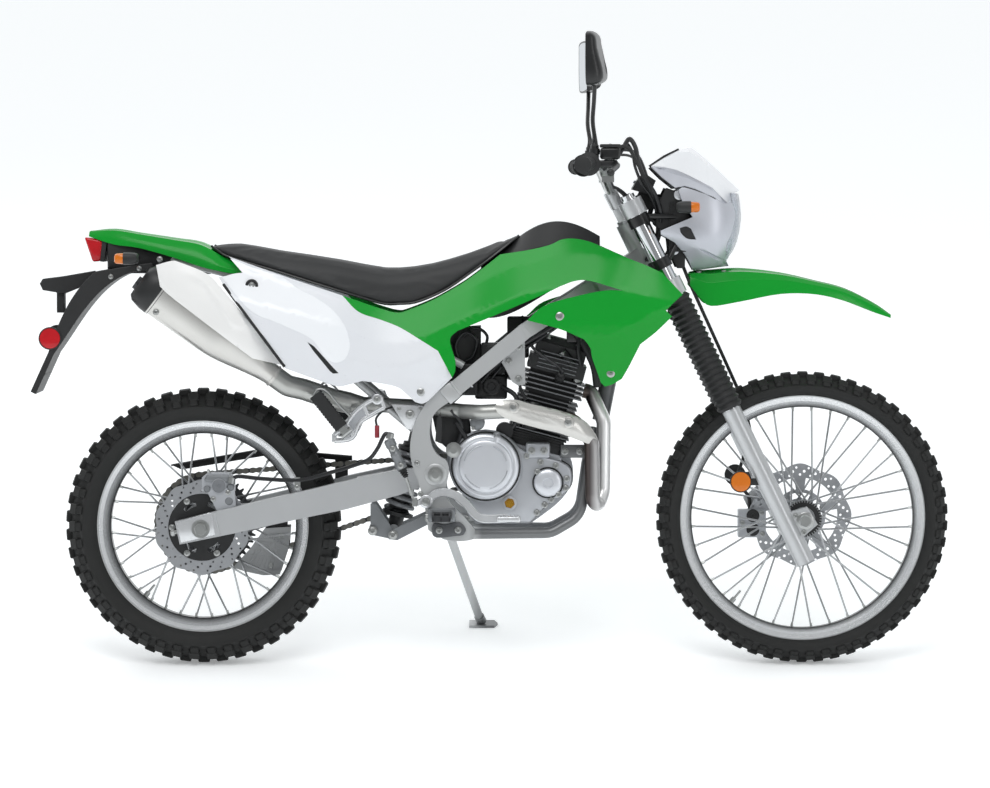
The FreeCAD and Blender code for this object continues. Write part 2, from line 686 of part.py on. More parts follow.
def crankcase():
    body = shaped([[(568, 455), (575, 523), (600, 536)], [(600, 536), (700, 528)], [(700, 528), (820, 506)],
                   [(820, 506), (850, 460), (843, 409), (800, 360), (752, 325)], [(752, 325), (627, 325)],
                   [(627, 325), (600, 386), (568, 455)]], -52, 40)
    lug = across(ENGINE_BOLT[0], ENGINE_BOLT[1], -CAST_IN + FIT, CAST_IN - FIT, 11)
    return fuse([body, lug])


def engine_covers():
    right = shaped([[(578, 455), (584, 512), (620, 530)], [(620, 530), (695, 530), (741, 495), (820, 473)],
                    [(820, 473), (846, 452), (842, 409), (793, 375)], [(793, 375), (752, 330)], [(752, 330), (636, 333)],
                    [(636, 333), (608, 386), (578, 455)]], -92, -52 - FIT)
    clutch = across(651, 461, -116, -92, 75)
    clutch_step = across(651, 461, -120, -116, 62)
    oil = across(793, 423, -112, -92, 32)
    left = across(735, 420, 40 + FIT, 96, 78)
    left_step = across(735, 420, 96, 102, 60)
    bolt = across(ENGINE_BOLT[0], ENGINE_BOLT[1], -CAST_IN, CAST_IN, 11 + FIT)
    return Part.makeCompound([fuse([right, clutch, clutch_step, oil]).cut(bolt), fuse([left, left_step])])


def cyl_point(s, x=0.0, y=0.0):
    a = math.radians(CYL_LEAN)
    return V(CYL_BASE[0] + s * math.sin(a) + x * math.cos(a), y, CYL_BASE[1] + s * math.cos(a) - x * math.sin(a))


def cyl_block(s0, s1, x0, x1, half):
    a = math.radians(CYL_LEAN)
    push = V(math.sin(a), 0, math.cos(a)) * (s1 - s0)
    return plate([cyl_point(s0, x0, -half), cyl_point(s0, x1, -half), cyl_point(s0, x1, half),
                  cyl_point(s0, x0, half)], push)


def cylinder():
    pieces = [cyl_block(24, 118, -48, 48, 50)]
    for i in range(9):
        s = 30 + 10 * i
        pieces.append(cyl_block(s, s + 3.5, -70, 70, 72))
    pieces.append(cyl_block(118, 205, -56, 56, 56))
    for i in range(4):
        s = 126 + 11 * i
        pieces.append(cyl_block(s, s + 4, -74, 74, 76))
    pieces.append(cyl_block(172, 205, -66, 66, 74))
    pieces.append(cyl_block(205, 236, -58, 58, 64))
    return fuse(pieces)


def throttle_body():
    intake = pipe([cyl_point(150, -74 - FIT), cyl_point(150, -98), V(680, 0, 690), V(640, 0, 690)], 22, 20)
    drum = across(680, 684, -46, 46, 17)
    return fuse([intake, drum])


def airbox():
    body = loft([(350, [(-62, 690), (62, 690), (62, 768), (-62, 768)]),
                 (470, [(-70, 660), (70, 660), (68, 766), (-68, 766)]),
                 (640 - FIT, [(-60, 650), (60, 650), (60, 778), (-60, 778)])], True)
    return body


# The header goes round under the shield and in behind the frame, then widens before the silencer.
def header_pipe():
    port = cyl_point(150, 74 + FIT, -24)
    d = unit(MUFFLER_FRONT - MUFFLER_REAR)
    header = pipe([port, cyl_point(150, 92, -24), V(922, -44, 560), V(920, -48, 400), V(908, -66, 368), V(895, -88, 384),
                   V(893, -94, 520), V(850, -112, 566), V(700, -146, 590), V(640, -134, 586), V(596, -92, 586),
                   V(520, -72, 594), V(430, -68, 598), V(372, -70, 601)], HEADER_R, 36)
    widening = cone(V(372, -70, 601), V(340, -74, 604), HEADER_R, MID_PIPE_R)
    mid = pipe([V(340, -74, 604), V(298, -82, 614), V(236, -94, 636), MUFFLER_FRONT + d * 34, MUFFLER_FRONT + d * FIT],
               MID_PIPE_R, 30)
    return fuse([header, widening, mid])


def heat_shield():
    runs = [[(684, 614), (718, 616), (752, 606), (820, 590), (866, 572), (890, 552), (908, 520)],
            [(908, 520), (884, 513)],
            [(884, 513), (866, 520), (820, 538), (775, 549), (729, 562), (695, 574), (677, 588)],
            [(677, 588), (672, 602), (684, 614)]]
    sheet = shaped(runs, -186, -60)
    outer = [V(660, -176.4, 500), V(700, -167.3, 500), V(850, -133.3, 500), V(894, -115.7, 500), V(917, -107.2, 500),
             V(917, -104.2, 500), V(894, -112.7, 500), V(850, -130.3, 500), V(700, -164.3, 500), V(660, -173.4, 500)]
    wall = Part.Face(Part.makePolygon(outer + outer[:1])).extrude(V(0, 0, 130))
    return sheet.common(wall)


def muffler_section(p, d, half_w, half_h):
    up = unit(d.cross(SIDE))
    beside = up.cross(d)
    points = []
    for k in range(12):
        a = 2 * math.pi * k / 12
        c = math.cos(a)
        s = math.sin(a)
        y = half_w * math.copysign(abs(c) ** 0.75, c)
        h = half_h * math.copysign(abs(s) ** 0.75, s)
        points.append(p + beside * y + up * h)
    curve = Part.BSplineCurve()
    curve.interpolate(points, True)
    return Part.Wire([curve.toShape()])


def muffler():
    d = unit(MUFFLER_FRONT - MUFFLER_REAR)
    length = (MUFFLER_FRONT - MUFFLER_REAR).Length
    wires = [muffler_section(MUFFLER_REAR, d, 44, 55), muffler_section(MUFFLER_REAR + d * (length * 0.55), d, 41, 50),
             muffler_section(MUFFLER_REAR + d * (length * 0.9), d, 32, 34), muffler_section(MUFFLER_FRONT, d, 26, 26)]
    tab = slab([(-62, 856), (-20, 832), (-40, 930), (-60, 930)], -106, -100)
    boss = across(-50, 921, -101, -72.8, 7)
    return fuse([Part.makeLoft(wires, True, False), tab, boss])


def muffler_cap():
    d = unit(MUFFLER_FRONT - MUFFLER_REAR)
    base = MUFFLER_REAR - d * FIT
    wires = [muffler_section(base, d, 45, 56), muffler_section(base - d * 18, d, 43, 53),
             muffler_section(base - d * 38, d, 30, 36)]
    cap = Part.makeLoft(wires, True, False)
    start = base + V(0, 0, -OUTLET_DROP)
    outlet = rod(start - d * 30, start - d * 52, OUTLET_R + 3)
    return fuse([cap, outlet]).cut(rod(start - d * 22, start - d * 60, OUTLET_R))


# A point drawn on the swingarm with its axle at (0, ARM_DRAWN_Z), moved as the rear end follows the axle.
def arm_point(x, z):
    share = max(0.0, 1 - max(x, 0.0) / PIVOT[0])
    return x + REAR_AXLE.x * share, z + (REAR_AXLE.z - ARM_DRAWN_Z) * share


# The forks' cross piece keeps clear of the tyre's front.
def cross_x():
    return REAR_AXLE.x + REAR_R + 34


def swingarm():
    outline_points = [(-59, 334), (-48, 282), (75, 307), (228, 341), (330, 362), (456, 396), (537, 426), (556, 444),
                      (537, 464), (440, 451), (342, 430), (228, 403), (31, 357)]
    arm = slab([arm_point(x, z) for x, z in outline_points], ARM_IN, ARM_OUT)
    x = cross_x()
    rise = (x - 352) * 0.25
    cross = slab([(x, 372 + rise), (x + 58, 386 + rise), (x + 62, 438 + rise), (x, 426 + rise)], -ARM_IN - 1, ARM_IN + 1)
    sleeve = across(PIVOT[0], PIVOT[1], -ARM_IN - 1, ARM_IN + 1, 16)
    axle = across(REAR_AXLE.x, REAR_AXLE.z, -ARM_OUT - 10, ARM_OUT + 10, 10)
    whole = fuse([arm, mirrored(arm), cross, sleeve, axle])
    return whole.cut(across(PIVOT[0], PIVOT[1], -ARM_OUT - 5, ARM_OUT + 5, 8 + FIT))


def shock():
    low = V(438, 0, 307.5)
    d = unit(V(500, 0, 560) - low)
    high = V(500, 0, 560) - d * (14 + FIT)
    body = rod(low, high, 17)
    coils = []
    beside = unit(d.cross(SIDE))
    for k in range(8):
        p = low + d * (48 + 19 * k)
        corners = [p + beside * (30 + 5.5 * math.cos(a)) + d * (5.5 * math.sin(a)) for a in HEXAGON]
        coils.append(flat(corners).revolve(p, d, 360))
    seat_low = rod(low + d * 34, low + d * 44, 36)
    seat_high = rod(low + d * 186, low + d * 196, 36)
    core = rod(low + d * 40, low + d * 190, 26)
    return fuse([body, seat_low, seat_high, core] + coils)


def linkage():
    pieces = []
    for y in (-42, 42):
        pieces.append(slab([(386, 371), (398, 371), (446, 300), (432, 290), (386, 300)], y - 4, y + 4))
    pieces.append(across(391, 309, -50, 50, 7))
    pieces.append(across(438, 300, -50, 50, 7))
    for y in (-52, 52):
        pieces.append(slab([(428, 290), (448, 288), (530, 330), (520, 350), (436, 312)], y - 6, y + 6))
    pieces.append(across(522, 338, -58, 58, 10))
    return fuse(pieces)


# The chain's two rows of side plates, stepping straight from one to the next round the sprockets.
def chain():
    xr, zr, rr = REAR_AXLE.x, REAR_AXLE.z, SPROCKET_R - 5
    xf, zf, rf = FRONT_SPROCKET[0], FRONT_SPROCKET[1], FRONT_SPROCKET_R
    tilt = math.atan2(zf - zr, xf - xr)
    open_by = math.asin((rr - rf) / math.hypot(xf - xr, zf - zr))

    def loop(grow):
        corners = []
        for k in range(9):
            a = tilt + math.pi / 2 - open_by - (math.pi - 2 * open_by) * k / 8
            corners.append(V(xf + (rf + grow) * math.cos(a), 0, zf + (rf + grow) * math.sin(a)))
        for k in range(17):
            a = tilt - math.pi / 2 + open_by - (math.pi + 2 * open_by) * k / 16
            corners.append(V(xr + (rr + grow) * math.cos(a), 0, zr + (rr + grow) * math.sin(a)))
        return flat(corners)

    band = loop(7.0).cut(loop(-7.0)).extrude(V(0, 3.5, 0))
    left = band.copy()
    band.translate(V(0, CHAIN_Y - 6.5 - FIT, 0))
    left.translate(V(0, CHAIN_Y + 3.0 + FIT, 0))
    return Part.makeCompound([band, left])


def front_sprocket():
    disc = across(FRONT_SPROCKET[0], FRONT_SPROCKET[1], CHAIN_Y - 3, CHAIN_Y + 3, 34)
    shaft = across(FRONT_SPROCKET[0], FRONT_SPROCKET[1], 40 + FIT, CHAIN_Y + 8, 12)
    return fuse([disc, shaft])


def chain_guard():
    def bar(points, y0, y1):
        return slab([arm_point(x, z) for x, z in points], y0, y1)

    top = bar([(-80, 452), (140, 490), (200, 484), (340, 472), (340, 462), (140, 474), (-57, 441)], 74, 78)
    lid = bar([(-80, 454), (140, 492), (200, 486), (340, 474), (340, 470), (200, 482), (140, 488), (-80, 450)], 59, 78)
    stay = bar([(300, 420), (330, 428), (330, 470), (300, 470)], 74, 78)
    guide = bar([(112, 268), (140, 309), (198, 314), (195, 269), (175, 206), (135, 202), (100, 214)], 44, 80)
    hollow = bar([(90, 214), (215, 257), (215, 285), (90, 242)], 50, 74)
    post = bar([(140, 300), (190, 300), (190, 345), (140, 345)], 50, ARM_IN - FIT)
    return Part.makeCompound([fuse([top, lid, stay]), fuse([guide, post]).cut(hollow)])


def seat():
    rows = [(22, 62, 960, 966), (62, 84, 936, 970), (180, 108, 900, 950), (320, 110, 856, 929), (421, 100, 826, 911),
            (489, 92, 828, 913), (569, 84, 864, 929), (661, 70, 928, 961), (728, 44, 984, 992)]
    return domed(rows).cut(tank())


def tank():
    rows = [(640, [(-60, 800), (60, 800), (78, 850), (70, 905), (30, 925), (-30, 925), (-70, 905), (-78, 850)]),
            (700, [(-62, 806), (62, 806), (88, 880), (80, 935), (34, 962), (-34, 962), (-80, 935), (-88, 880)]),
            (760, [(-62, 836), (62, 836), (94, 900), (90, 958), (48, 1004), (-48, 1004), (-90, 958), (-94, 900)]),
            (850, [(-56, 892), (56, 892), (84, 930), (86, 966), (50, 1014), (-50, 1014), (-86, 966), (-84, 930)]),
            (912, [(-44, 932), (44, 932), (60, 942), (64, 962), (42, 985), (-42, 985), (-64, 962), (-60, 942)])]
    return loft(rows)


# Side skin shared by the side panels and the shrouds: outer corners at each x, top to bottom.
SKIN = [(10, [(92, 968), (98, 935), (150, 862), (166, 800), (166, 640)]),
        (150, [(112, 920), (118, 893), (160, 830), (172, 760), (172, 620)]),
        (300, [(114, 872), (120, 848), (152, 790), (164, 720), (158, 600)]),
        (450, [(104, 826), (112, 804), (138, 745), (152, 690), (146, 580)]),
        (600, [(88, 900), (102, 866), (138, 800), (152, 745), (146, 600)]),
        (750, [(96, 968), (112, 928), (152, 858), (164, 790), (156, 640)]),
        (900, [(104, 985), (132, 946), (172, 872), (186, 790), (172, 640)]),
        (1010, [(150, 940), (165, 910), (190, 852), (198, 790), (180, 630)]),
        (1110, [(170, 880), (178, 860), (192, 832), (192, 800), (176, 690)])]


def side_skin(thick):
    stations = []
    for x, corners in SKIN:
        inner = [(y - thick, z) for y, z in reversed(corners)]
        stations.append((x, corners + inner))
    return loft(stations)


WHITE = [[(67, 939), (184, 898), (325, 851)],
         [(325, 851), (362, 814), (412, 796), (457, 778), (514, 744), (543, 726)], [(543, 726), (561, 692)],
         [(561, 692), (575, 665)], [(575, 665), (520, 612)], [(520, 612), (507, 606), (491, 610)],
         [(491, 610), (468, 631), (450, 644), (412, 653), (371, 658)],
         [(371, 658), (343, 651), (321, 646), (298, 651), (253, 667), (198, 687)],
         [(198, 687), (54, 878)], [(54, 878), (44, 893)], [(44, 893), (76, 898), (101, 903)], [(101, 903), (67, 939)]]

GREEN = [[(325, 851), (412, 821), (448, 812), (470, 816), (525, 838), (570, 862), (616, 891), (684, 944)],
         [(684, 944), (752, 955), (797, 966), (824, 978), (854, 980), (888, 973), (922, 959)],
         [(922, 959), (967, 939), (1013, 921), (1051, 903)], [(1051, 903), (1096, 855)],
         [(1096, 855), (1058, 819)], [(1058, 819), (1072, 805)], [(1072, 805), (1035, 769), (1001, 742)],
         [(1001, 742), (974, 687), (960, 662)], [(960, 662), (938, 649), (922, 644)], [(922, 644), (913, 653)],
         [(913, 653), (904, 678), (892, 712), (888, 733), (874, 753)], [(874, 753), (820, 776), (745, 796)],
         [(745, 796), (786, 830), (865, 853), (922, 864), (960, 864)],
         [(960, 864), (888, 885), (854, 885), (820, 873)], [(820, 873), (774, 851), (684, 812), (586, 771)],
         [(586, 771), (570, 751), (582, 705), (582, 680)], [(582, 680), (575, 665)],
         [(575, 665), (561, 692)], [(561, 692), (543, 726)],
         [(543, 726), (514, 744), (457, 778), (412, 796), (362, 814), (325, 851)]]


def side_panels():
    return pair(side_skin(4.0).common(shaped(WHITE, 60, 220)).cut(seat()))


def shrouds():
    return pair(side_skin(4.0).common(shaped(GREEN, 60, 220)).cut(seat()).cut(tank()))


def rear_fender():
    rows = [(-258, 34, 984, 994), (-200, 52, 966, 999), (-141, 66, 958, 990), (-60, 82, 936, 978),
            (0, 90, 916, 968), (50, 92, 904, 940), (100, 92, 896, 918)]
    return fender_shell(rows, 3.0)


def plate_bracket():
    blade = [[(-110, 908), (-187, 890), (-240, 848), (-291, 782), (-336, 716)], [(-336, 716), (-378, 624)],
             [(-378, 624), PLATE_LOW], [PLATE_LOW, PLATE_HIGH], [PLATE_HIGH, (-318, 800), (-290, 850), (-240, 905)],
             [(-240, 905), (-110, 925)], [(-110, 925), (-110, 908)]]
    body = shaped(blade, -78, 78)
    arm = slab([(-373, 876), (-366, 887), (-325, 892), (-250, 905), (-250, 880), (-318, 853), (-366, 861)], -30, 30)
    stalk = box(-335, -318, -20, 20, 809, 862)
    root = box(-216 + FIT, -110, -44, 44, 900, 960)
    pad = box(-200, -145, -26, 26, 955, 985.8)
    whole = fuse([body, arm, stalk, root, pad])
    centre, out = plate_seat()
    for y in (-PLATE_BOLTS / 2, PLATE_BOLTS / 2):
        whole = whole.cut(rod(centre - out * 40 + V(0, y, 0), centre + out * 20 + V(0, y, 0), PLATE_HOLE_R))
    return whole


# Middle of the number plate's seat and the way it faces.
def plate_seat():
    run = unit(V(PLATE_HIGH[0] - PLATE_LOW[0], 0, PLATE_HIGH[1] - PLATE_LOW[1]))
    centre = V((PLATE_LOW[0] + PLATE_HIGH[0]) / 2, 0, (PLATE_LOW[1] + PLATE_HIGH[1]) / 2)
    return centre, V(-run.z, 0, run.x)


def tail_lamp():
    return slab([(-269, 983), (-216, 974), (-223, 926), (-250, 926)], -42, 42).cut(rear_fender())


def rear_signals():
    return pair(signal_body(-150, 170, 936, 44 + FIT))


def rear_lamps():
    lens = box(-186, -166 - FIT, 146, 208, 924, 948)
    return pair(lens)


def rear_caliper():
    x = REAR_AXLE.x
    z = REAR_AXLE.z
    body = slab([(x + 2, z + 83), (x + 76, z + 83), (x + 76, z + 112), (x + 64, z + 126), (x + 14, z + 126),
                 (x + 2, z + 116)], -86, -40)
    slot = box(x - 10, x + 90, -66, -58, z + 42, z + 118)
    cap = across(x + 41, z + 97, -92, -86, 17)
    foot = slab([(x + 36, z + 40.5), (x + 80, z + 50.8), (x + 76, z + 92), (x + 10, z + 92)], -90, -76)
    return fuse([body, cap, foot]).cut(slot)


def foot_controls():
    pedal = pipe([V(515, -137, 383), V(556, -137, 404), V(600, -138, 386), V(640, -150, 345), V(700, -152, 348)], 5.5, 20)
    toe = box(676, 730, -178, -148, 338, 354)
    boss = across(515, 383, -144, -CAST_OUT - FIT + 6, 10)
    pump = rod(V(432, -146, 522), V(470, -146, 440), 13)
    push = rod(V(470, -146, 440), V(490, -142, 378), 4)
    link = slab([(484, 372), (515, 376), (515, 390), (484, 384)], -144, -138)
    shift = pipe([V(640, 40 + FIT, 372), V(640, 140, 372), V(735, 144, 348)], 6, 12)
    shift_toe = rod(V(735, 130, 348), V(735, 176, 348), 9)
    return Part.makeCompound([fuse([pedal, toe, boss, link, push, pump]), fuse([shift, shift_toe])])


def rider_peg(side):
    body = box(530, 572, 158, 236, 342, 360)
    hinge = rod(V(530, RIDER_HINGE[1], RIDER_HINGE[2]), V(572, RIDER_HINGE[1], RIDER_HINGE[2]), 8)
    peg = fuse([body, hinge])
    return peg if side > 0 else mirrored(peg)


def peg_brackets():
    rider = []
    for x in (520 - FIT, 572 + FIT):
        rider.append(slab([(x, 338), (x + 10, 338), (x + 10, 366), (x, 366)], CAST_OUT - 6 + FIT, 162))
    base = box(520 - FIT, 582 + FIT, CAST_OUT - 6 + FIT, 141, 336, 368)
    near = fuse(rider + [base])
    loop = slab([(300, 512), (352, 520), (372, 560), (424, 590), (410, 628), (372, 604), (330, 560), (300, 540)],
                PEG_LOOP[0], PEG_LOOP[1])
    lug = across(PEG_HINGE[0], PEG_HINGE[2], PEG_LOOP[1] - 1, PEG_HINGE[1] - 7 - FIT, 12)
    loop = fuse([loop, lug, across(404, 615, 106.8, 116, 9)])
    return Part.makeCompound([near, mirrored(near), loop, mirrored(loop)])


def passenger_peg(side):
    foot = V(*PEG_HINGE)
    d = unit(V(*PEG_STOWED))
    u = d.cross(SIDE)
    start = foot + d * 4
    rubber = plate([start + u * 16 + V(0, -2, 0), start - u * 16 + V(0, -2, 0), start - u * 16 + V(0, 20, 0),
                    start + u * 16 + V(0, 20, 0)], d * 108)
    barrel = rod(foot - u * 14, foot + u * 14, 7)
    peg = fuse([rubber, barrel])
    return peg if side > 0 else mirrored(peg)


# A point given as the motorcycle stands parked, moved to the upright frame.
def to_upright(v):
    return parked().inverse().multVec(v)


def side_stand():
    pivot = V(*STAND_PIVOT)
    sole = to_upright(V(STAND_FOOT[0], STAND_FOOT[1], 0))
    ankle = to_upright(V(STAND_FOOT[0] - 5, STAND_FOOT[1] - 8, 20))
    axis = stand_axis()
    leg = rod(pivot + unit(ankle - pivot) * 8, ankle, 10)
    eye = rod(pivot - axis * 11, pivot + axis * 11, 15)
    corners = []
    for dx, dy in ((-30, -24), (30, -24), (38, 0), (30, 24), (-30, 24)):
        corners.append(to_upright(V(STAND_FOOT[0] + dx, STAND_FOOT[1] + dy, 0)))
    foot = plate(corners, to_upright(V(0, 0, 6)) - to_upright(V(0, 0, 0)))
    block = rod(to_upright(V(STAND_FOOT[0], STAND_FOOT[1], 9)), ankle + unit(ankle - sole) * 6, 12)
    hole = rod(pivot - axis * 40, pivot + axis * 40, 6 + FIT)
    return fuse([leg, eye, foot, block]).cut(hole)


def stand_axis():
    pivot = V(*STAND_PIVOT)
    sole = to_upright(V(STAND_FOOT[0], STAND_FOOT[1], 8))
    return unit(unit(sole - pivot).cross(unit(V(*STAND_FOLDED))))


def stand_bracket():
    pivot = V(*STAND_PIVOT)
    axis = stand_axis()
    pin = rod(pivot - axis * 18, pivot + axis * 17, 6)
    back = rod(pivot - axis * 24, pivot - axis * (11 + FIT), 17)
    arm = rod(pivot - axis * 23, V(560, 118, 326), 9)
    return fuse([pin, back, arm])


def brake_hose():
    path = [V(930, -205 + FIT, 1176), V(930, -190, 1176), V(970, -160, 1196), V(1006, -130, 1130),
            V(1040, -72, 1060),
            along(700, 50, -60), along(600, 46, 40), along(420, BOOT_R + 12, LEG_Y), along(290, BOOT_R + 8, LEG_Y - 8),
            along(215, 20, 68), along(150, -46, 68), V(1232, 72, 410), V(1264, 74, 380), V(1264, 74, 350 + FIT)]
    return pipe(path, 4.0, 30)


def build():
    nodes = {}
    nodes.update(front_wheel_parts())
    nodes.update(rear_wheel_parts())
    nodes["frame"] = chassis_frame()
    nodes["crankcase"] = crankcase()
    nodes["engine_covers"] = engine_covers()
    nodes["cylinder"] = cylinder()
    nodes["throttle_body"] = throttle_body()
    nodes["airbox"] = airbox()
    nodes["header_pipe"] = header_pipe()
    nodes["heat_shield"] = heat_shield()
    nodes["muffler"] = muffler()
    nodes["muffler_cap"] = muffler_cap()
    nodes["swingarm"] = swingarm()
    nodes["shock"] = shock()
    nodes["linkage"] = linkage()
    nodes["chain"] = chain()
    nodes["front_sprocket"] = front_sprocket()
    nodes["chain_guard"] = chain_guard()
    nodes["seat"] = seat()
    nodes["tank"] = tank()
    nodes["side_panels"] = side_panels()
    nodes["shrouds"] = shrouds()
    nodes["rear_fender"] = rear_fender()
    nodes["plate_bracket"] = plate_bracket()
    nodes["tail_lamp"] = tail_lamp()
    nodes["rear_signals"] = rear_signals()
    nodes["rear_lamps"] = rear_lamps()
    nodes["rear_caliper"] = rear_caliper()
    nodes["foot_controls"] = foot_controls()
    nodes["peg_brackets"] = peg_brackets()
    nodes["rider_peg_left"] = rider_peg(1)
    nodes["rider_peg_right"] = rider_peg(-1)
    nodes["rear_peg_left"] = passenger_peg(1)
    nodes["rear_peg_right"] = passenger_peg(-1)
    nodes["side_stand"] = side_stand()
    nodes["triple_clamps"] = triple_clamps()
    nodes["fork_tubes"] = fork_tubes()
    nodes["fork_boots"] = fork_boots()
    nodes["fork_sliders"] = fork_sliders()
    nodes["handlebar"] = handlebar()
    nodes["grips"] = grips()
    nodes["hand_controls"] = controls()
    nodes["mirrors"] = mirrors()
    nodes["headlight_cowl"] = headlight_cowl()
    nodes["headlight_lens"] = headlight_lens()
    nodes["headlight_bowl"] = headlight_bowl()
    nodes["instrument"] = instrument()
    nodes["front_signals"] = front_signals()
    nodes["front_lamps"] = front_lamps()
    nodes["front_fender"] = front_fender()
    nodes["front_caliper"] = front_caliper()
    nodes["brake_hose"] = brake_hose()
    return nodes


# How far a tyre's lowest lug corner lies below the drawing's ground once rolled by an angle.
def sink(axle, radius, crown, rows, a):
    edge = math.radians(LUG_HALF)
    down = (radius - crown + crown * math.cos(edge)) * math.cos(math.pi * LUG_SHARE / rows)
    return down * math.cos(a) + crown * math.sin(edge) * math.sin(a) - axle.z * math.cos(a)


# Parked: rolled onto the stand, both tyres on the ground, then moved to the middle of its own box.
def parked():
    a = math.radians(LEAN)
    roll = FreeCAD.Rotation(V(1, 0, 0), -LEAN)
    sink_front = sink(FRONT_AXLE, FRONT_R, FRONT_CROWN, FRONT_ROWS, a)
    sink_rear = sink(REAR_AXLE, REAR_R, REAR_CROWN, REAR_ROWS, a)
    pitch = FreeCAD.Rotation(V(0, 1, 0), -math.degrees(math.atan2(sink_front - sink_rear, WHEELBASE)))
    turn = pitch.multiply(roll)
    rear = turn.multVec(V(REAR_AXLE.x, 0, 0))
    return FreeCAD.Placement(V(REAR_AXLE.x, 0, sink_rear) - rear, turn)


def centred(nodes):
    place = parked()
    moved = {}
    for name, shape in nodes.items():
        copy = shape.copy()
        copy.Placement = place.multiply(copy.Placement)
        moved[name] = copy
    low = V(1e9, 1e9, 1e9)
    high = V(-1e9, -1e9, -1e9)
    for shape in moved.values():
        b = shape.optimalBoundingBox(True, False)
        low = V(min(low.x, b.XMin), min(low.y, b.YMin), min(low.z, b.ZMin))
        high = V(max(high.x, b.XMax), max(high.y, b.YMax), max(high.z, b.ZMax))
    shift = V(-(low.x + high.x) / 2, -(low.y + high.y) / 2, -low.z)
    for shape in moved.values():
        shape.translate(shift)
    return moved, FreeCAD.Placement(shift, FreeCAD.Rotation()).multiply(place), high - low


def main():
    os.makedirs("parts", exist_ok=True)
    moved, place, size = centred(build())
    for name, shape in moved.items():
        shape.exportStep("parts/" + name + ".step")
    print(len(moved), "nodes", size)


if __name__ == "__main__":
    main()
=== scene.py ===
import json
import math
import random

import bmesh
import bpy
from mathutils import Matrix, Quaternion, Vector
from mathutils.geometry import delaunay_2d_cdt

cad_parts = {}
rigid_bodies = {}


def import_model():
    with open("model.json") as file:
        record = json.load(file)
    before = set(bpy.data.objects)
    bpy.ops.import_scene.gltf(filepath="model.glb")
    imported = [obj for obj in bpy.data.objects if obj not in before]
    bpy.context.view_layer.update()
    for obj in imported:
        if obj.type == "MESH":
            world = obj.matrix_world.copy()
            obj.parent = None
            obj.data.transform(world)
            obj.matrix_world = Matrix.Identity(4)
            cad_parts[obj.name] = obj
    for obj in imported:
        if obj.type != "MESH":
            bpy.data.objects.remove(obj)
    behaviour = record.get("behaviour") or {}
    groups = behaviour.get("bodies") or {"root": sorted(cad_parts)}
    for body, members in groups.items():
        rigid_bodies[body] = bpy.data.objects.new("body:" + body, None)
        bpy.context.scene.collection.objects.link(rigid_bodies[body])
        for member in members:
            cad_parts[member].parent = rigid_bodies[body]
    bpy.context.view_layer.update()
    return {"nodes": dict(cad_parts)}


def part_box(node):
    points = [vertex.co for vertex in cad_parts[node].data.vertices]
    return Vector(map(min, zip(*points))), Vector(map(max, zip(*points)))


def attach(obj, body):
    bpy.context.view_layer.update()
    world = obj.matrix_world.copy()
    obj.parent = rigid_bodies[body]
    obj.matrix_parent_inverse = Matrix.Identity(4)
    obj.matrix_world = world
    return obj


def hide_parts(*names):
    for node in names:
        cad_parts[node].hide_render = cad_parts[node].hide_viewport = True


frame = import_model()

# Pieces are drawn in mm as the motorcycle stands upright: x forward from the rear axle, y to its left,
# z up from the ground. PARK leans them on the side stand, in metres.
WHEELBASE = 1380.0
FRONT_R = 337.0
REAR_R = 318.0
LEAN = 10.5
PITCH = 0.0014
RAKE = 26.1


def middle(node):
    low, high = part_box(node)
    return (low + high) / 2


TURN = Matrix.Rotation(math.radians(PITCH), 4, "Y") @ Matrix.Rotation(math.radians(-LEAN), 4, "X")
PARK = Matrix.Translation(middle("rear_rim") - TURN @ Vector((0, 0, REAR_R / 1000))) @ TURN @ Matrix.Scale(0.001, 4)
FORK_UP = Vector((-math.sin(math.radians(RAKE)), 0, math.cos(math.radians(RAKE))))
FORK_FWD = Vector((math.cos(math.radians(RAKE)), 0, math.sin(math.radians(RAKE))))
LEG_FOOT = Vector((WHEELBASE, 0, FRONT_R)) - FORK_FWD * 40.4


def along(s, forward=0.0, y=0.0):
    return LEG_FOOT + FORK_UP * s + FORK_FWD * forward + Vector((0, y, 0))


CHAIN_Y = 62.0
CHAIN_PITCH = 15.875
MM = 0.001
FRONT_SPROCKET, REAR_SPROCKET = (600.0, 441.0, 35.7), (0.0, REAR_R, 114.0)
LEFT, RIGHT, AHEAD, UP = (0, 1, 0), (0, -1, 0), (1, 0, 0), (0, 0, 1)
CORNERS = ((-1, -1), (1, -1), (1, 1), (-1, 1))


# Forms: each gives points in mm and the faces between them.

def weld(verts, faces):
    """Joins points that fall together and drops the faces that close up."""
    seen, kept, index = {}, [], []
    for v in verts:
        key = (round(v[0], 3), round(v[1], 3), round(v[2], 3))
        if key not in seen:
            seen[key] = len(kept)
            kept.append(Vector(v))
        index.append(seen[key])
    slim = []
    for face in faces:
        loop = [index[k] for k in face]
        loop = [k for i, k in enumerate(loop) if k != loop[i - 1]]
        if len(loop) > 2:
            slim.append(loop)
    return kept, slim


def net(rows, columns, wrap_rows, wrap_columns):
    faces = []
    for i in range(rows if wrap_rows else rows - 1):
        for k in range(columns if wrap_columns else columns - 1):
            i2, k2 = (i + 1) % rows, (k + 1) % columns
            faces.append([i * columns + k, i * columns + k2, i2 * columns + k2, i2 * columns + k])
    return faces


def lathe(profile, centre, axis=(0, 1, 0), steps=48):
    """A closed profile of (along, radius) turned about an axis."""
    axis = Vector(axis).normalized()
    u = axis.orthogonal().normalized()
    w = axis.cross(u)
    verts = []
    for k in range(steps):
        a = 2 * math.pi * k / steps
        out = u * math.cos(a) + w * math.sin(a)
        verts += [Vector(centre) + axis * s + out * r for s, r in profile]
    return weld(verts, net(steps, len(profile), True, True))


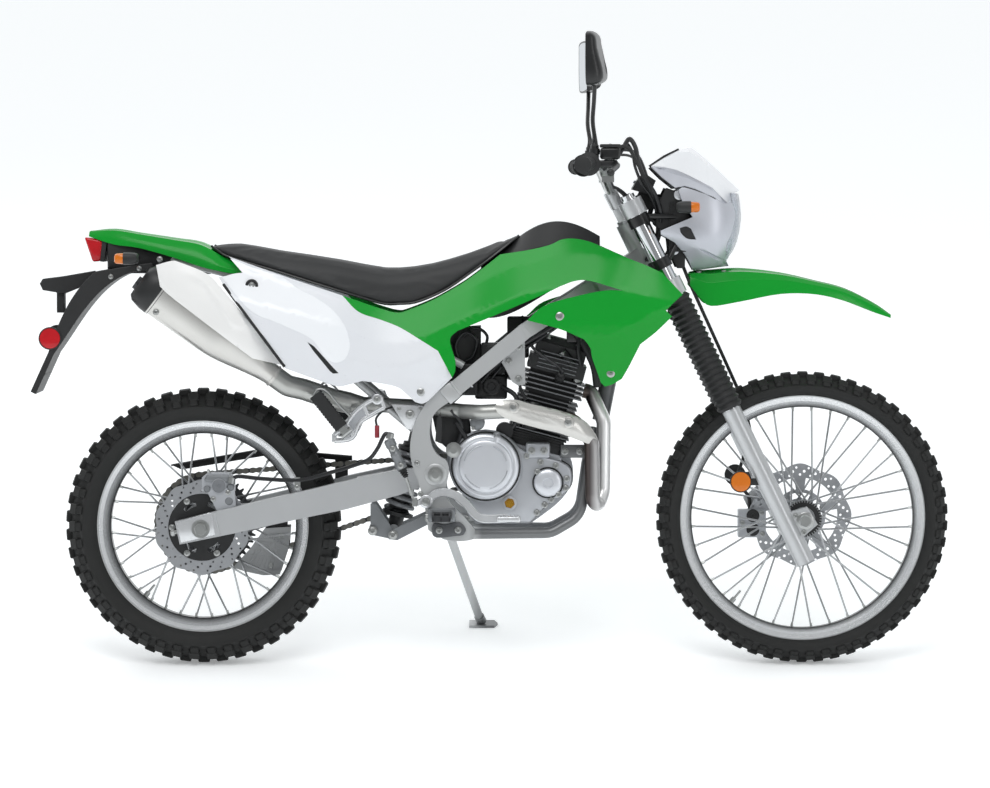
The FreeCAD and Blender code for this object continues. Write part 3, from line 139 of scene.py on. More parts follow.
def loft(sections):
    """A skin over sections of equally many corners, closed at both ends."""
    n = len(sections[0])
    ends = [list(range(n))[::-1], [(len(sections) - 1) * n + k for k in range(n)]]
    return weld([Vector(p) for s in sections for p in s], net(len(sections), n, False, True) + ends)


def flow(points, per=6, closed=False):
    """A smooth run through points."""
    pts = [Vector(p) for p in points]
    n = len(pts)
    path = []
    for i in range(n if closed else n - 1):
        p0 = pts[i - 1] if closed or i else pts[0] * 2 - pts[1]
        p1, p2 = pts[i], pts[(i + 1) % n]
        p3 = pts[(i + 2) % n] if closed or i < n - 2 else p2 * 2 - p1
        for k in range(per):
            t = k / per
            path.append(0.5 * (2 * p1 + (p2 - p0) * t + (2 * p0 - 5 * p1 + 4 * p2 - p3) * t * t +
                               (3 * p1 - p0 - 3 * p2 + p3) * t ** 3))
    return path if closed else path + [pts[-1]]


def section_frames(path):
    """Directions across a path that turn with it and don't twist."""
    frames = []
    side = (path[1] - path[0]).orthogonal().normalized()
    for i in range(len(path)):
        ahead = (path[min(i + 1, len(path) - 1)] - path[max(i - 1, 0)]).normalized()
        side = (side - ahead * side.dot(ahead)).normalized()
        frames.append((side, ahead.cross(side)))
    return frames


def tube(path, radius, sides=12):
    """A round bar along a path, closed at its ends; radius is one value or one for each point."""
    path = [Vector(p) for p in path]
    radii = radius if isinstance(radius, list) else [radius] * len(path)
    sections = []
    for p, r, (u, w) in zip(path, radii, section_frames(path)):
        angles = [2 * math.pi * k / sides for k in range(sides)]
        sections.append([p + (u * math.cos(a) + w * math.sin(a)) * r for a in angles])
    return loft(sections)


def outline(runs, per=5):
    """A closed outline: each run goes on from the last one's end, straight to one point or smooth through more."""
    points = []
    for k, run in enumerate(runs):
        flat = [(x, z, 0) for x, z in [runs[k - 1][-1], *run]]
        path = [Vector(p) for p in flat] if len(run) == 1 else flow(flat, per)
        points += [(p.x, p.y) for p in path[:-1]]
    return points


def inside(u, v, loops):
    odd = False
    for loop in loops:
        for k, (x1, y1) in enumerate(loop):
            x0, y0 = loop[k - 1]
            if (y0 > v) != (y1 > v) and u < (x0 - x1) * (v - y1) / (y0 - y1) + x1:
                odd = not odd
    return odd


def sheet(edge, place, thick, holes=(), folds=(), cell=0.0):
    """A wall cut to an outline, with holes and fold lines, laid in space by place(u, v, depth)."""
    loops = [edge, *holes]
    points, lines = [], []
    for loop in loops:
        start = len(points)
        points += loop
        lines += [(start + k, start + (k + 1) % len(loop)) for k in range(len(loop))]
    for fold in folds:
        start = len(points)
        points += fold
        lines += [(start + k, start + k + 1) for k in range(len(fold) - 1)]
    if cell:
        low = [min(p[k] for p in edge) for k in (0, 1)]
        high = [max(p[k] for p in edge) for k in (0, 1)]
        for i in range(1, int((high[0] - low[0]) / cell) + 1):
            for k in range(1, int((high[1] - low[1]) / cell) + 1):
                u, v = low[0] + i * cell, low[1] + (k + 0.5 * (i % 2)) * cell
                if inside(u, v, loops):
                    points.append((u, v))
    flat, _, found = delaunay_2d_cdt([Vector(p) for p in points], lines, [], 0, 1e-4, False)[:3]
    kept = []
    for face in found:
        middle_u = sum(flat[k].x for k in face) / 3
        middle_v = sum(flat[k].y for k in face) / 3
        if inside(middle_u, middle_v, loops):
            kept.append(face)
    used = sorted({k for face in kept for k in face})
    index = {k: i for i, k in enumerate(used)}
    n = len(used)
    verts = [Vector(place(flat[k].x, flat[k].y, depth)) for depth in (0.0, thick) for k in used]
    count = {}
    for face in kept:
        for k in range(3):
            key = (face[k], face[(k + 1) % 3])
            count[key] = count.get(key, 0) + 1
    faces = [[index[k] for k in face] for face in kept]
    faces += [[index[k] + n for k in reversed(face)] for face in kept]
    for a, b in count:
        if (b, a) not in count:
            faces.append([index[b], index[a], index[a] + n, index[b] + n])
    return verts, faces


def prism(edge, y0, y1):
    """A flat outline in x and z, thick from y0 to y1."""
    return loft([[(x, y, z) for x, z in edge] for y in (y0, y1)])


def block(one, other):
    """A box between any two of its opposite corners."""
    (x0, x1), (y0, y1), (z0, z1) = (sorted(pair) for pair in zip(one, other))
    return loft([[(x0, y, z0), (x1, y, z0), (x1, y, z1), (x0, y, z1)] for y in (y0, y1)])


def bevelled(form, width, segments=1, angle=30):
    """The same form with its sharp edges cut off."""
    mesh = bpy.data.meshes.new("form")
    mesh.from_pydata(form[0], [], form[1])
    bm = bmesh.new()
    bm.from_mesh(mesh)
    bmesh.ops.recalc_face_normals(bm, faces=bm.faces)
    sharp = [e for e in bm.edges if e.is_manifold and e.calc_face_angle(0) > math.radians(angle)]
    bmesh.ops.bevel(bm, geom=sharp, offset=width, segments=segments, affect="EDGES", profile=0.5, clamp_overlap=True)
    bm.verts.index_update()
    made = [v.co.copy() for v in bm.verts], [[v.index for v in f.verts] for f in bm.faces]
    bm.free()
    bpy.data.meshes.remove(mesh)
    return made


def moved(form, matrix):
    return [matrix @ Vector(v) for v in form[0]], form[1]


def mirrored(form):
    return [Vector((v[0], -v[1], v[2])) for v in form[0]], [list(reversed(f)) for f in form[1]]


def joined(forms):
    verts, faces = [], []
    for form in forms:
        start = len(verts)
        verts += form[0]
        faces += [[k + start for k in face] for face in form[1]]
    return verts, faces


class Piece:
    """One visible piece: forms in upright mm, each with its material, set down parked when done."""

    def __init__(self, name, body, *replaced):
        self.name, self.body, self.replaced = name, body, replaced
        self.verts, self.faces, self.slots, self.materials = [], [], [], []

    def add(self, form, material):
        start = len(self.verts)
        self.verts += form[0]
        self.faces += [[k + start for k in face] for face in form[1]]
        if material not in self.materials:
            self.materials.append(material)
        self.slots += [self.materials.index(material)] * len(form[1])

    def both(self, form, material):
        self.add(form, material)
        self.add(mirrored(form), material)

    def turned(self, material, *lathed):
        self.add(lathe(*lathed), material)

    def boss(self, material, profile, *where):
        """A turned solid, its profile closed on the axis at both ends."""
        self.turned(material, [(profile[0][0], 0), *profile, (profile[-1][0], 0)], *where)

    def box(self, material, low, high, *cut):
        self.add(bevelled(block(low, high), *cut), material)

    def plate(self, material, edge, y0, y1, *cut):
        self.add(bevelled(prism(edge, y0, y1), *cut), material)

    def bar(self, material, path, radius, sides=10):
        self.add(tube(path, radius, sides), material)

    def hose(self, material, points, radius, sides=10, per=5):
        self.bar(material, flow(points, per), radius, sides)

    def bolts(self, places, r=8.5, high=7.0, hex_r=0.0):
        """Zinc-plated bolts with hex sockets at places of (point, direction)."""
        self.add(spots(bolt_form(r, high, hex_r or r * 0.38), ZINC, places), ZINC)

    def mesh(self):
        data = bpy.data.meshes.new(self.name)
        data.from_pydata([PARK @ Vector(v) for v in self.verts], [], self.faces)
        for material in self.materials:
            data.materials.append(MATERIALS[material])
        data.polygons.foreach_set("material_index", self.slots)
        bm = bmesh.new()
        bm.from_mesh(data)
        bmesh.ops.recalc_face_normals(bm, faces=bm.faces)
        bm.to_mesh(data)
        bm.free()
        return data

    def done(self, bevel=0.0, angle=34, segments=2, levels=0):
        data = self.mesh()
        data.shade_smooth()
        data.set_sharp_from_angle(angle=math.radians(angle))
        piece = bpy.data.objects.new(self.name, data)
        bpy.context.scene.collection.objects.link(piece)
        if bevel:
            cut = piece.modifiers.new("edge", "BEVEL")
            cut.width = bevel * MM
            cut.segments = segments
            cut.limit_method = "ANGLE"
            cut.angle_limit = math.radians(angle)
            cut.use_clamp_overlap = True
            cut.harden_normals = True
        if levels:
            smooth = piece.modifiers.new("smooth", "SUBSURF")
            smooth.levels = smooth.render_levels = levels
        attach(piece, self.body)
        if self.replaced:
            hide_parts(*self.replaced)
        return piece


# Camera and studio.

EYE, AIM = (683.7, -9500.0, 1091.0), (672.0, 0.0, 621.0)
LENS, SENSOR = 150.07, 36.0
SOFT_LIGHTS = (("key", (-0.6, -2.6, 4.6), (3.5, 2.2), 95), ("fill", (3.0, -3.4, 1.8), (0.8, 2.4), 16),
    ("rim", (-2.8, 3.0, 3.2), (2.4, 2.4), 25))
LIT_AT = (0, 0, 0.6)
FLOOR_HALF, FLOOR_GLOW = 30.0, 0.26


def set_camera():
    data = bpy.data.cameras.new("camera")
    data.lens, data.sensor_width, data.clip_end = LENS, SENSOR, 100.0
    cam = bpy.data.objects.new("camera", data)
    bpy.context.scene.collection.objects.link(cam)
    eye = Vector(EYE)
    back = (eye - Vector(AIM)).normalized()
    right = Vector((0, 0, 1)).cross(back).normalized()
    up = back.cross(right)
    turn = Matrix((right, up, back)).transposed().to_4x4()
    cam.matrix_world = Matrix.Translation(PARK @ eye) @ TURN @ turn
    bpy.context.scene.camera = cam


def area_light(name, place, size, power):
    data = bpy.data.lights.new(name, "AREA")
    data.shape = "RECTANGLE"
    data.size, data.size_y = size
    data.energy = power
    lamp = bpy.data.objects.new(name, data)
    bpy.context.scene.collection.objects.link(lamp)
    lamp.location = place
    lamp.rotation_euler = (Vector(LIT_AT) - Vector(place)).to_track_quat("-Z", "Y").to_euler()


def linear(code):
    """A colour written as sRGB hex, in linear light."""
    parts = [int(code[i:i + 2], 16) / 255 for i in (1, 3, 5)]
    return [c / 12.92 if c <= 0.04045 else ((c + 0.055) / 1.055) ** 2.4 for c in parts] + [1.0]


def add(tree, kind, sockets=None, **settings):
    """One node: its settings, and for each socket a value or the output that feeds it."""
    made = tree.nodes.new(kind)
    for key, value in settings.items():
        setattr(made, key, value)
    for key, value in (sockets or {}).items():
        if isinstance(value, bpy.types.NodeSocket):
            tree.links.new(value, made.inputs[key])
        else:
            made.inputs[key].default_value = value
    return made


def maths(tree, operation, a, b):
    return add(tree, "ShaderNodeMath", {0: a, 1: b}, operation=operation).outputs[0]


def studio():
    world = bpy.data.worlds.new("studio")
    world.use_nodes = True
    tree = world.node_tree
    way = add(tree, "ShaderNodeSeparateXYZ", {0: add(tree, "ShaderNodeTexCoord").outputs["Generated"]})
    front = add(tree, "ShaderNodeMapRange", {"Value": way.outputs[1], "From Min": -0.5, "From Max": 0.3,
        "To Min": 0.34, "To Max": 1.0})
    tree.nodes["Background"].inputs["Color"].default_value = linear("#fcfeff")
    tree.links.new(front.outputs[0], tree.nodes["Background"].inputs["Strength"])
    bpy.context.scene.world = world
    bpy.context.scene.view_settings.view_transform = "Standard"
    for row in SOFT_LIGHTS:
        area_light(*row)
    mesh = bpy.data.meshes.new("floor")
    mesh.from_pydata([(u * FLOOR_HALF, v * FLOOR_HALF, 0) for u, v in CORNERS], [], [(0, 1, 2, 3)])
    floor = bpy.data.objects.new("floor", mesh)
    bpy.context.scene.collection.objects.link(floor)
    paper = bpy.data.materials.new("matt_paper_floor")
    paper.use_nodes = True
    for key, value in (("Base Color", linear("#fbfdfe")), ("Roughness", 0.9), ("Emission Color", linear("#fcfeff")),
            ("Emission Strength", FLOOR_GLOW)):
        paper.node_tree.nodes["Principled BSDF"].inputs[key].default_value = value
    mesh.materials.append(paper)


def finish(name, tone, tone2, rough, metal=0.0, spread=60.0, grain=1.2, bump=0.15, gloss_spread=0.06, **sockets):
    """tone to tone2 over patches of spread mm; the bump's grain in mm and its height in mm."""
    material = bpy.data.materials.new(name)
    material.use_nodes = True
    tree = material.node_tree
    shader = tree.nodes["Principled BSDF"]
    place = add(tree, "ShaderNodeTexCoord").outputs["Object"]
    broad = add(tree, "ShaderNodeTexNoise", {"Vector": place, "Scale": 1 / (spread * MM), "Detail": 3.0})
    mix = add(tree, "ShaderNodeMix", {0: broad.outputs["Fac"], 6: linear(tone), 7: linear(tone2)}, data_type="RGBA")
    fine = add(tree, "ShaderNodeTexNoise", {"Vector": place, "Scale": 1 / (grain * MM), "Detail": 2.0})
    gloss = add(tree, "ShaderNodeMapRange", {"Value": fine.outputs["Fac"], "To Min": max(0.02, rough - gloss_spread),
        "To Max": min(1.0, rough + gloss_spread)})
    raised = add(tree, "ShaderNodeBump", {"Height": fine.outputs["Fac"], "Distance": bump * MM, "Strength": 1.0})
    tree.links.new(mix.outputs[2], shader.inputs["Base Color"])
    tree.links.new(gloss.outputs[0], shader.inputs["Roughness"])
    tree.links.new(raised.outputs[0], shader.inputs["Normal"])
    shader.inputs["Metallic"].default_value = metal
    for key, value in sockets.items():
        shader.inputs[key].default_value = value
    return material


# Each row: tone, second tone, roughness, metal, patch, grain and bump height in mm, spread of gloss.
FINISHES = {
    # Polypropylene coloured in the mass: clean and glossy, with a faint moulding ripple.
    "green_moulded_polypropylene": ("#129a30", "#0f922b", 0.2, 0.0, 220, 9, 0.02),
    "white_moulded_polypropylene": ("#e4e6ea", "#dcdfe4", 0.3, 0.0, 220, 9, 0.02),
    # Silver lacquer on plastic: a soft metallic sheen under clear coat.
    "silver_lacquered_plastic": ("#c6c9d0", "#bcbfc8", 0.3, 0.35, 180, 0.5, 0.01),
    # Black moulded plastic with a fine spark-eroded grain.
    "black_grained_plastic": ("#191a1b", "#242526", 0.5, 0.0, 90, 0.8, 0.06),
    "black_smooth_plastic": ("#141516", "#1c1d1e", 0.3, 0.0, 90, 4.0, 0.02),
    # Vulcanised rubber: dull black, browner where it is dusty.
    "tyre_rubber": ("#101111", "#1b1c1b", 0.7, 0.0, 45, 1.5, 0.12),
    "soft_rubber": ("#161718", "#202122", 0.6, 0.0, 60, 1.0, 0.05),
    # Stretched vinyl over foam, with a leather-like grain.
    "seat_vinyl": ("#202122", "#2b2c2d", 0.55, 0.0, 120, 1.6, 0.18),
    # Steel tube under silver powder coat.
    "silver_powder_coat": ("#b9bbbc", "#c3c5c6", 0.36, 0.5, 120, 1.2, 0.03),
    "satin_aluminium": ("#c0c2c4", "#c9cbcd", 0.34, 0.65, 90, 0.6, 0.02),
    # Rolled aluminium rims: bright turned walls; the dark band in the well is painted shade, toned on by distance
    # from the axle.
    "front_rim_aluminium": ("#d5d7d9", "#c8cacd", 0.26, 0.7, 90, 0.6, 0.01),
    "rear_rim_aluminium": ("#d5d7d9", "#c8cacd", 0.26, 0.7, 90, 0.6, 0.01),
    "hard_chrome": ("#dfe1e3", "#d7dadd", 0.07, 1.0, 120, 2.0, 0.002, 0.02),
    # Die-cast aluminium under grey engine paint, its skin slightly pebbled.
    "painted_die_casting": ("#aeb1b6", "#bbbec3", 0.38, 0.45, 60, 1.4, 0.08),
    "sand_cast_aluminium": ("#7d8083", "#8f9295", 0.5, 0.7, 40, 1.0, 0.1),
    "black_engine_paint": ("#1d1e1f", "#2a2b2c", 0.42, 0.1, 60, 1.0, 0.08),
    "stainless_steel": ("#b9bbbd", "#a9abad", 0.28, 1.0, 40, 0.5, 0.01),
    "zinc_plated_steel": ("#b5b7b6", "#a4a6a5", 0.32, 1.0, 12, 0.4, 0.01),
    "dark_steel": ("#3f4042", "#57585a", 0.42, 0.9, 20, 0.6, 0.03),
    # Exhaust tube: blued and browned by heat over satin steel.
    "heat_stained_steel": ("#6e6a64", "#565657", 0.38, 0.9, 70, 0.7, 0.02),
    "amber_acrylic": ("#d9791f", "#c9691a", 0.12, 0.0, 20, 2.0, 0.03),
    "red_acrylic": ("#c9141f", "#ab0f1a", 0.12, 0.0, 20, 2.0, 0.03),
    "clear_polycarbonate": ("#e6eaf0", "#dde2ea", 0.06, 0.0, 60, 3.0, 0.005, 0.02),
    "brushed_disc_steel": ("#c4c6ca", "#b4b7bb", 0.3, 1.0, 30, 0.6, 0.02),
    "brushed_stainless_steel": ("#d6d5d1", "#c8c7c4", 0.3, 0.75, 60, 0.5, 0.02),
    "white_gloss_polypropylene": ("#f3f5f8", "#eceff3", 0.22, 0.0, 220, 9, 0.02),
    "white_lacquered_plastic": ("#eff1f4", "#e7eaee", 0.25, 0.0, 180, 6, 0.01),
    "chromed_reflector": ("#e9ebed", "#dfe2e5", 0.08, 1.0, 60, 4, 0.002, 0.02),
    # Clear-coated die casting: lighter and smoother than the painted cases.
    "clear_coated_casting": ("#dcdfe4", "#cfd2d8", 0.3, 0.5, 70, 1.2, 0.002, 0.02),
    "machined_fin_edge": ("#85878a", "#77797c", 0.36, 0.9, 30, 0.6, 0.02),
    "gold_anodised_aluminium": ("#c99a3c", "#bb8c30", 0.28, 0.9, 20, 0.8, 0.01),
    "grey_moulded_plastic": ("#6d7074", "#777a7e", 0.5, 0.0, 60, 1.0, 0.04),
    "cable_sheath": ("#17181a", "#202124", 0.35, 0.0, 30, 2.0, 0.01),
    "polished_alloy": ("#dddfe1", "#d0d2d5", 0.24, 0.6, 60, 0.8, 0.01),
    "oiled_steel": ("#8b8a86", "#77766f", 0.34, 0.95, 12, 0.6, 0.02),
    "grey_spring_lacquer": ("#7b7d80", "#8a8c8f", 0.3, 0.3, 30, 1.0, 0.01),
    "silver_painted_cover": ("#f6f6f5", "#ececeb", 0.32, 0.15, 180, 0.8, 0.01),
    "dark_cast_iron": ("#55575a", "#636568", 0.5, 0.4, 30, 1.0, 0.1),
    "pale_nylon": ("#a3a5a7", "#b0b2b3", 0.5, 0.0, 50, 1.0, 0.03),
    "red_moulded_plastic": ("#9c3440", "#8c2c38", 0.4, 0.0, 20, 1.0, 0.02),
    "liquid_crystal_pane": ("#59615a", "#50584f", 0.1, 0.0, 40, 2.0, 0.002, 0.02),
    "mirror_glass": ("#c8ccd0", "#c0c5ca", 0.03, 1.0, 90, 5.0, 0.001, 0.01),
}
SPECIAL = {"green_moulded_polypropylene": {"Specular IOR Level": 0.22},
    "clear_polycarbonate": {"Transmission Weight": 0.75}}
MATERIALS = {name: finish(name, *row, **SPECIAL.get(name, {})) for name, row in FINISHES.items()}
ZINC, BLACK_PAINT, RUBBER, SHEATH = "zinc_plated_steel", "black_engine_paint", "soft_rubber", "cable_sheath"
GRAINED, SMOOTH, ALLOY = "black_grained_plastic", "black_smooth_plastic", "polished_alloy"
PAINTED_CAST, SAND_CAST, COATED_CAST = "painted_die_casting", "sand_cast_aluminium", "clear_coated_casting"
STAINLESS, SILVER_FRAME, NYLON = "brushed_stainless_steel", "silver_powder_coat", "pale_nylon"


def tone_ramp(tree, share, tones):
    """Colours a material by a share from 0 to 1, from one tone to the next."""
    ramp = add(tree, "ShaderNodeValToRGB", {"Fac": share})
    stops = ramp.color_ramp.elements
    for at, tone in tones:
        stop = stops[0] if at == 0 else stops[-1] if at == 1 else stops.new(at)
        stop.color = linear(tone)
    tree.links.new(ramp.outputs[0], tree.nodes["Principled BSDF"].inputs["Base Color"])


def heat_tint(material, cold, hot):
    """Browns and blues a steel along x, from where it stays cold to where it is hottest."""
    tree = material.node_tree
    place = add(tree, "ShaderNodeSeparateXYZ", {0: add(tree, "ShaderNodeTexCoord").outputs["Object"]})
    heat = add(tree, "ShaderNodeMapRange", {"Value": place.outputs[0], "From Min": cold, "From Max": hot})
    tone_ramp(tree, heat.outputs[0], [(0.0, "#b9bab7"), (0.45, "#494d54"), (0.7, "#6f5e4d"), (0.86, "#565050"),
        (1.0, "#ffffff")])


heat_tint(MATERIALS["heat_stained_steel"], 0.02, 0.26)


def painted_tube_shade(material, from_x, below_z, share):
    """Darkens the round tubes forward of from_x and below below_z towards dark grey: painted shade where they lie in
    shadow.
    """
    tree = material.node_tree
    shader = tree.nodes["Principled BSDF"]
    tone = shader.inputs["Base Color"].links[0].from_socket
    place = add(tree, "ShaderNodeSeparateXYZ", {0: add(tree, "ShaderNodeTexCoord").outputs["Object"]})
    forward = add(tree, "ShaderNodeMapRange", {"Value": place.outputs[0], "From Min": from_x,
        "From Max": from_x + 0.03})
    low = add(tree, "ShaderNodeMapRange", {"Value": place.outputs[2], "From Min": below_z,
        "From Max": below_z - 0.03})
    shade_mask = maths(tree, "MULTIPLY", forward.outputs[0], low.outputs[0])
    part = maths(tree, "MULTIPLY", shade_mask, share)
    # The dark grey is the painted shade colour.
    mix = add(tree, "ShaderNodeMix", {0: part, 6: tone, 7: linear("#4c4e50")}, data_type="RGBA")
    tree.links.new(mix.outputs[2], shader.inputs["Base Color"])


# Painted shade on the lower frame tubes, in two regions.
painted_tube_shade(MATERIALS["silver_powder_coat"], -0.05, 0.62, 0.75)
painted_tube_shade(MATERIALS["silver_powder_coat"], 0.205, 0.82, 0.9)


def rim_light_and_shade_tint(material, centre, edges, tones):
    """Tones by the distance from an axle: a bright rim wall with painted light, and a painted shade band inside it.
    """
    tree = material.node_tree
    axle = TURN.to_3x3() @ Vector((0, 1, 0))
    place = add(tree, "ShaderNodeTexCoord").outputs["Object"]
    away = add(tree, "ShaderNodeVectorMath", {0: place, 1: tuple(centre)}, operation="SUBTRACT")
    across = add(tree, "ShaderNodeVectorMath", {0: away.outputs[0], 1: tuple(axle)}, operation="CROSS_PRODUCT")
    reach = add(tree, "ShaderNodeVectorMath", {0: across.outputs[0]}, operation="LENGTH")
    share = add(tree, "ShaderNodeMapRange", {"Value": reach.outputs[1], "From Min": edges[0] * MM,
        "From Max": edges[-1] * MM})
    tone_ramp(tree, share.outputs[0], [((edge - edges[0]) / (edges[-1] - edges[0]), tone)
        for edge, tone in zip(edges, tones)])


# Tones out across the rim wall: bright, then a painted shade line and a painted highlight at the lip; the darkest
# tone inside it is painted shade in the well.
RIM_WALL_LIGHT_AND_SHADE = ("#eceef0", "#e9ebed", "#f2f4f6", "#a6a9ac", "#ffffff")
rim_light_and_shade_tint(MATERIALS["front_rim_aluminium"], middle("front_rim"), (255, 266, 268, 279, 280.5, 283),
    ("#1a1b1d", *RIM_WALL_LIGHT_AND_SHADE))
rim_light_and_shade_tint(MATERIALS["rear_rim_aluminium"], middle("rear_rim"), (213, 227, 229, 239, 240.5, 243.5),
    ("#0c0d0e", *RIM_WALL_LIGHT_AND_SHADE))

# The solids that wear each finish.
WORN_BY = {
    "tyre_rubber": "front_tyre rear_tyre", "front_rim_aluminium": "front_rim", "rear_rim_aluminium": "rear_rim",
    "stainless_steel": "front_spokes rear_spokes front_disc rear_disc",
    "dark_steel": "sprocket shock chain front_sprocket rider_peg_left rider_peg_right",
    "silver_powder_coat": "frame peg_brackets side_stand",
    "painted_die_casting": "crankcase engine_covers rear_caliper front_caliper",
    "black_engine_paint": "cylinder muffler_cap", "black_smooth_plastic": "throttle_body headlight_bowl",
    "black_grained_plastic": "airbox chain_guard tank plate_bracket rear_signals hand_controls mirrors "
                             "instrument front_signals",
    "heat_stained_steel": "header_pipe", "satin_aluminium": "heat_shield muffler swingarm triple_clamps fork_sliders",
    "sand_cast_aluminium": "linkage", "seat_vinyl": "seat", "white_moulded_polypropylene": "side_panels",
    "green_moulded_polypropylene": "shrouds rear_fender front_fender", "red_acrylic": "tail_lamp",
    "amber_acrylic": "rear_lamps front_lamps", "zinc_plated_steel": "foot_controls handlebar",
    "soft_rubber": "rear_peg_left rear_peg_right fork_boots grips brake_hose", "hard_chrome": "fork_tubes",
    "silver_lacquered_plastic": "headlight_cowl", "clear_polycarbonate": "headlight_lens",
}
NODE_MATERIALS = {node: finish_name for finish_name, nodes in WORN_BY.items() for node in nodes.split()}


def soften_tree():
    """Joins a solid's loose triangles and shades it smooth up to an edge angle."""
    tree = bpy.data.node_groups.new("soften", "GeometryNodeTree")
    face = tree.interface
    face.new_socket("Geometry", in_out="INPUT", socket_type="NodeSocketGeometry")
    angle = face.new_socket("Sharp from", in_out="INPUT", socket_type="NodeSocketFloat")
    angle.default_value = math.radians(32)
    face.new_socket("Geometry", in_out="OUTPUT", socket_type="NodeSocketGeometry")
    source = add(tree, "NodeGroupInput")
    joined = add(tree, "GeometryNodeMergeByDistance", {"Geometry": source.outputs[0], "Distance": 0.02 * MM})
    smooth = add(tree, "GeometryNodeSetShadeSmooth", {"Geometry": joined.outputs[0], "Shade Smooth": True},
        domain="FACE")
    bend = add(tree, "GeometryNodeInputMeshEdgeAngle")
    sharp = add(tree, "FunctionNodeCompare", {0: bend.outputs[0], 1: source.outputs[1]}, operation="GREATER_THAN")
    edged = add(tree, "GeometryNodeSetShadeSmooth", {"Geometry": smooth.outputs[0], "Selection": sharp.outputs[0],
        "Shade Smooth": False}, domain="EDGE")
    add(tree, "NodeGroupOutput", {0: edged.outputs[0]})
    return tree


# Solids whose edges are rounded, by this many mm.
ROUNDED = {"frame": 1.2, "crankcase": 1.5, "swingarm": 1.6, "triple_clamps": 1.2, "fork_sliders": 1.0,
    "front_caliper": 1.5, "rear_caliper": 1.5, "heat_shield": 0.8, "airbox": 3.0, "chain_guard": 0.8,
    "peg_brackets": 1.0, "foot_controls": 0.8, "plate_bracket": 1.5, "side_stand": 0.8, "linkage": 1.0}


def dress_solids():
    tree = soften_tree()
    for name, solid in frame["nodes"].items():
        solid.data.materials.clear()
        solid.data.materials.append(MATERIALS[NODE_MATERIALS[name]])
        solid.modifiers.new("soften", "NODES").node_group = tree
        if name in ROUNDED:
            edge = solid.modifiers.new("edge", "BEVEL")
            edge.width = ROUNDED[name] * MM
            edge.segments = 2
            edge.limit_method = "ANGLE"
            edge.angle_limit = math.radians(40)


# Repeats: node trees that set a unit many times and give one mesh.

def socket(tree, name, kind, value=None, way="INPUT"):
    made = tree.interface.new_socket(name, in_out=way, socket_type="NodeSocket" + kind)
    if value is not None:
        made.default_value = value


def begin_tree(name, sockets):
    tree = bpy.data.node_groups.new(name, "GeometryNodeTree")
    socket(tree, "Geometry", "Geometry")
    socket(tree, "Unit", "Object")
    socket(tree, "Finish", "Material")
    for key, (kind, value) in sockets.items():
        socket(tree, key, kind, value)
    socket(tree, "Geometry", "Geometry", way="OUTPUT")
    given = add(tree, "NodeGroupInput")
    return tree, {s.name: s for s in given.outputs}


def end_tree(tree, given, points, turn, size=(1.0, 1.0, 1.0)):
    unit = add(tree, "GeometryNodeObjectInfo", {"Object": given["Unit"]})
    placed = add(tree, "GeometryNodeInstanceOnPoints", {"Points": points, "Instance": unit.outputs["Geometry"],
        "Rotation": turn, "Scale": size})
    real = add(tree, "GeometryNodeRealizeInstances", {0: placed.outputs[0]})
    dressed = add(tree, "GeometryNodeSetMaterial", {"Geometry": real.outputs[0], "Material": given["Finish"]})
    add(tree, "NodeGroupOutput", {0: dressed.outputs[0]})
    return tree


def turn_row_tree():
    """Units turned in even steps about the y axis, each a touch nearer or further out."""
    tree, given = begin_tree("turn_row", {"Count": ("Int", 12), "Phase": ("Float", 0.0), "Uneven": ("Float", 0.0),
        "Seed": ("Int", 1)})
    points = add(tree, "GeometryNodePoints", {"Count": given["Count"]})
    step = maths(tree, "DIVIDE", math.tau, given["Count"])
    number = add(tree, "GeometryNodeInputIndex")
    place = maths(tree, "ADD", number.outputs[0], given["Phase"])
    angle = maths(tree, "MULTIPLY", place, step)
    turn = add(tree, "FunctionNodeAxisAngleToRotation", {"Axis": LEFT, "Angle": angle})
    low = maths(tree, "SUBTRACT", 1.0, given["Uneven"])
    chance = add(tree, "FunctionNodeRandomValue", {"Seed": given["Seed"]}, data_type="FLOAT")
    tree.links.new(low, chance.inputs[2])
    chance.inputs[3].default_value = 1.0
    return end_tree(tree, given, points.outputs[0], turn.outputs[0], chance.outputs[1])


def spot_row_tree():
    """A unit on each point, turned by the point's own turn."""
    tree, given = begin_tree("spot_row", {})
    turn = add(tree, "GeometryNodeInputNamedAttribute", {"Name": "turn"}, data_type="QUATERNION")
    return end_tree(tree, given, given["Geometry"], turn.outputs[0])


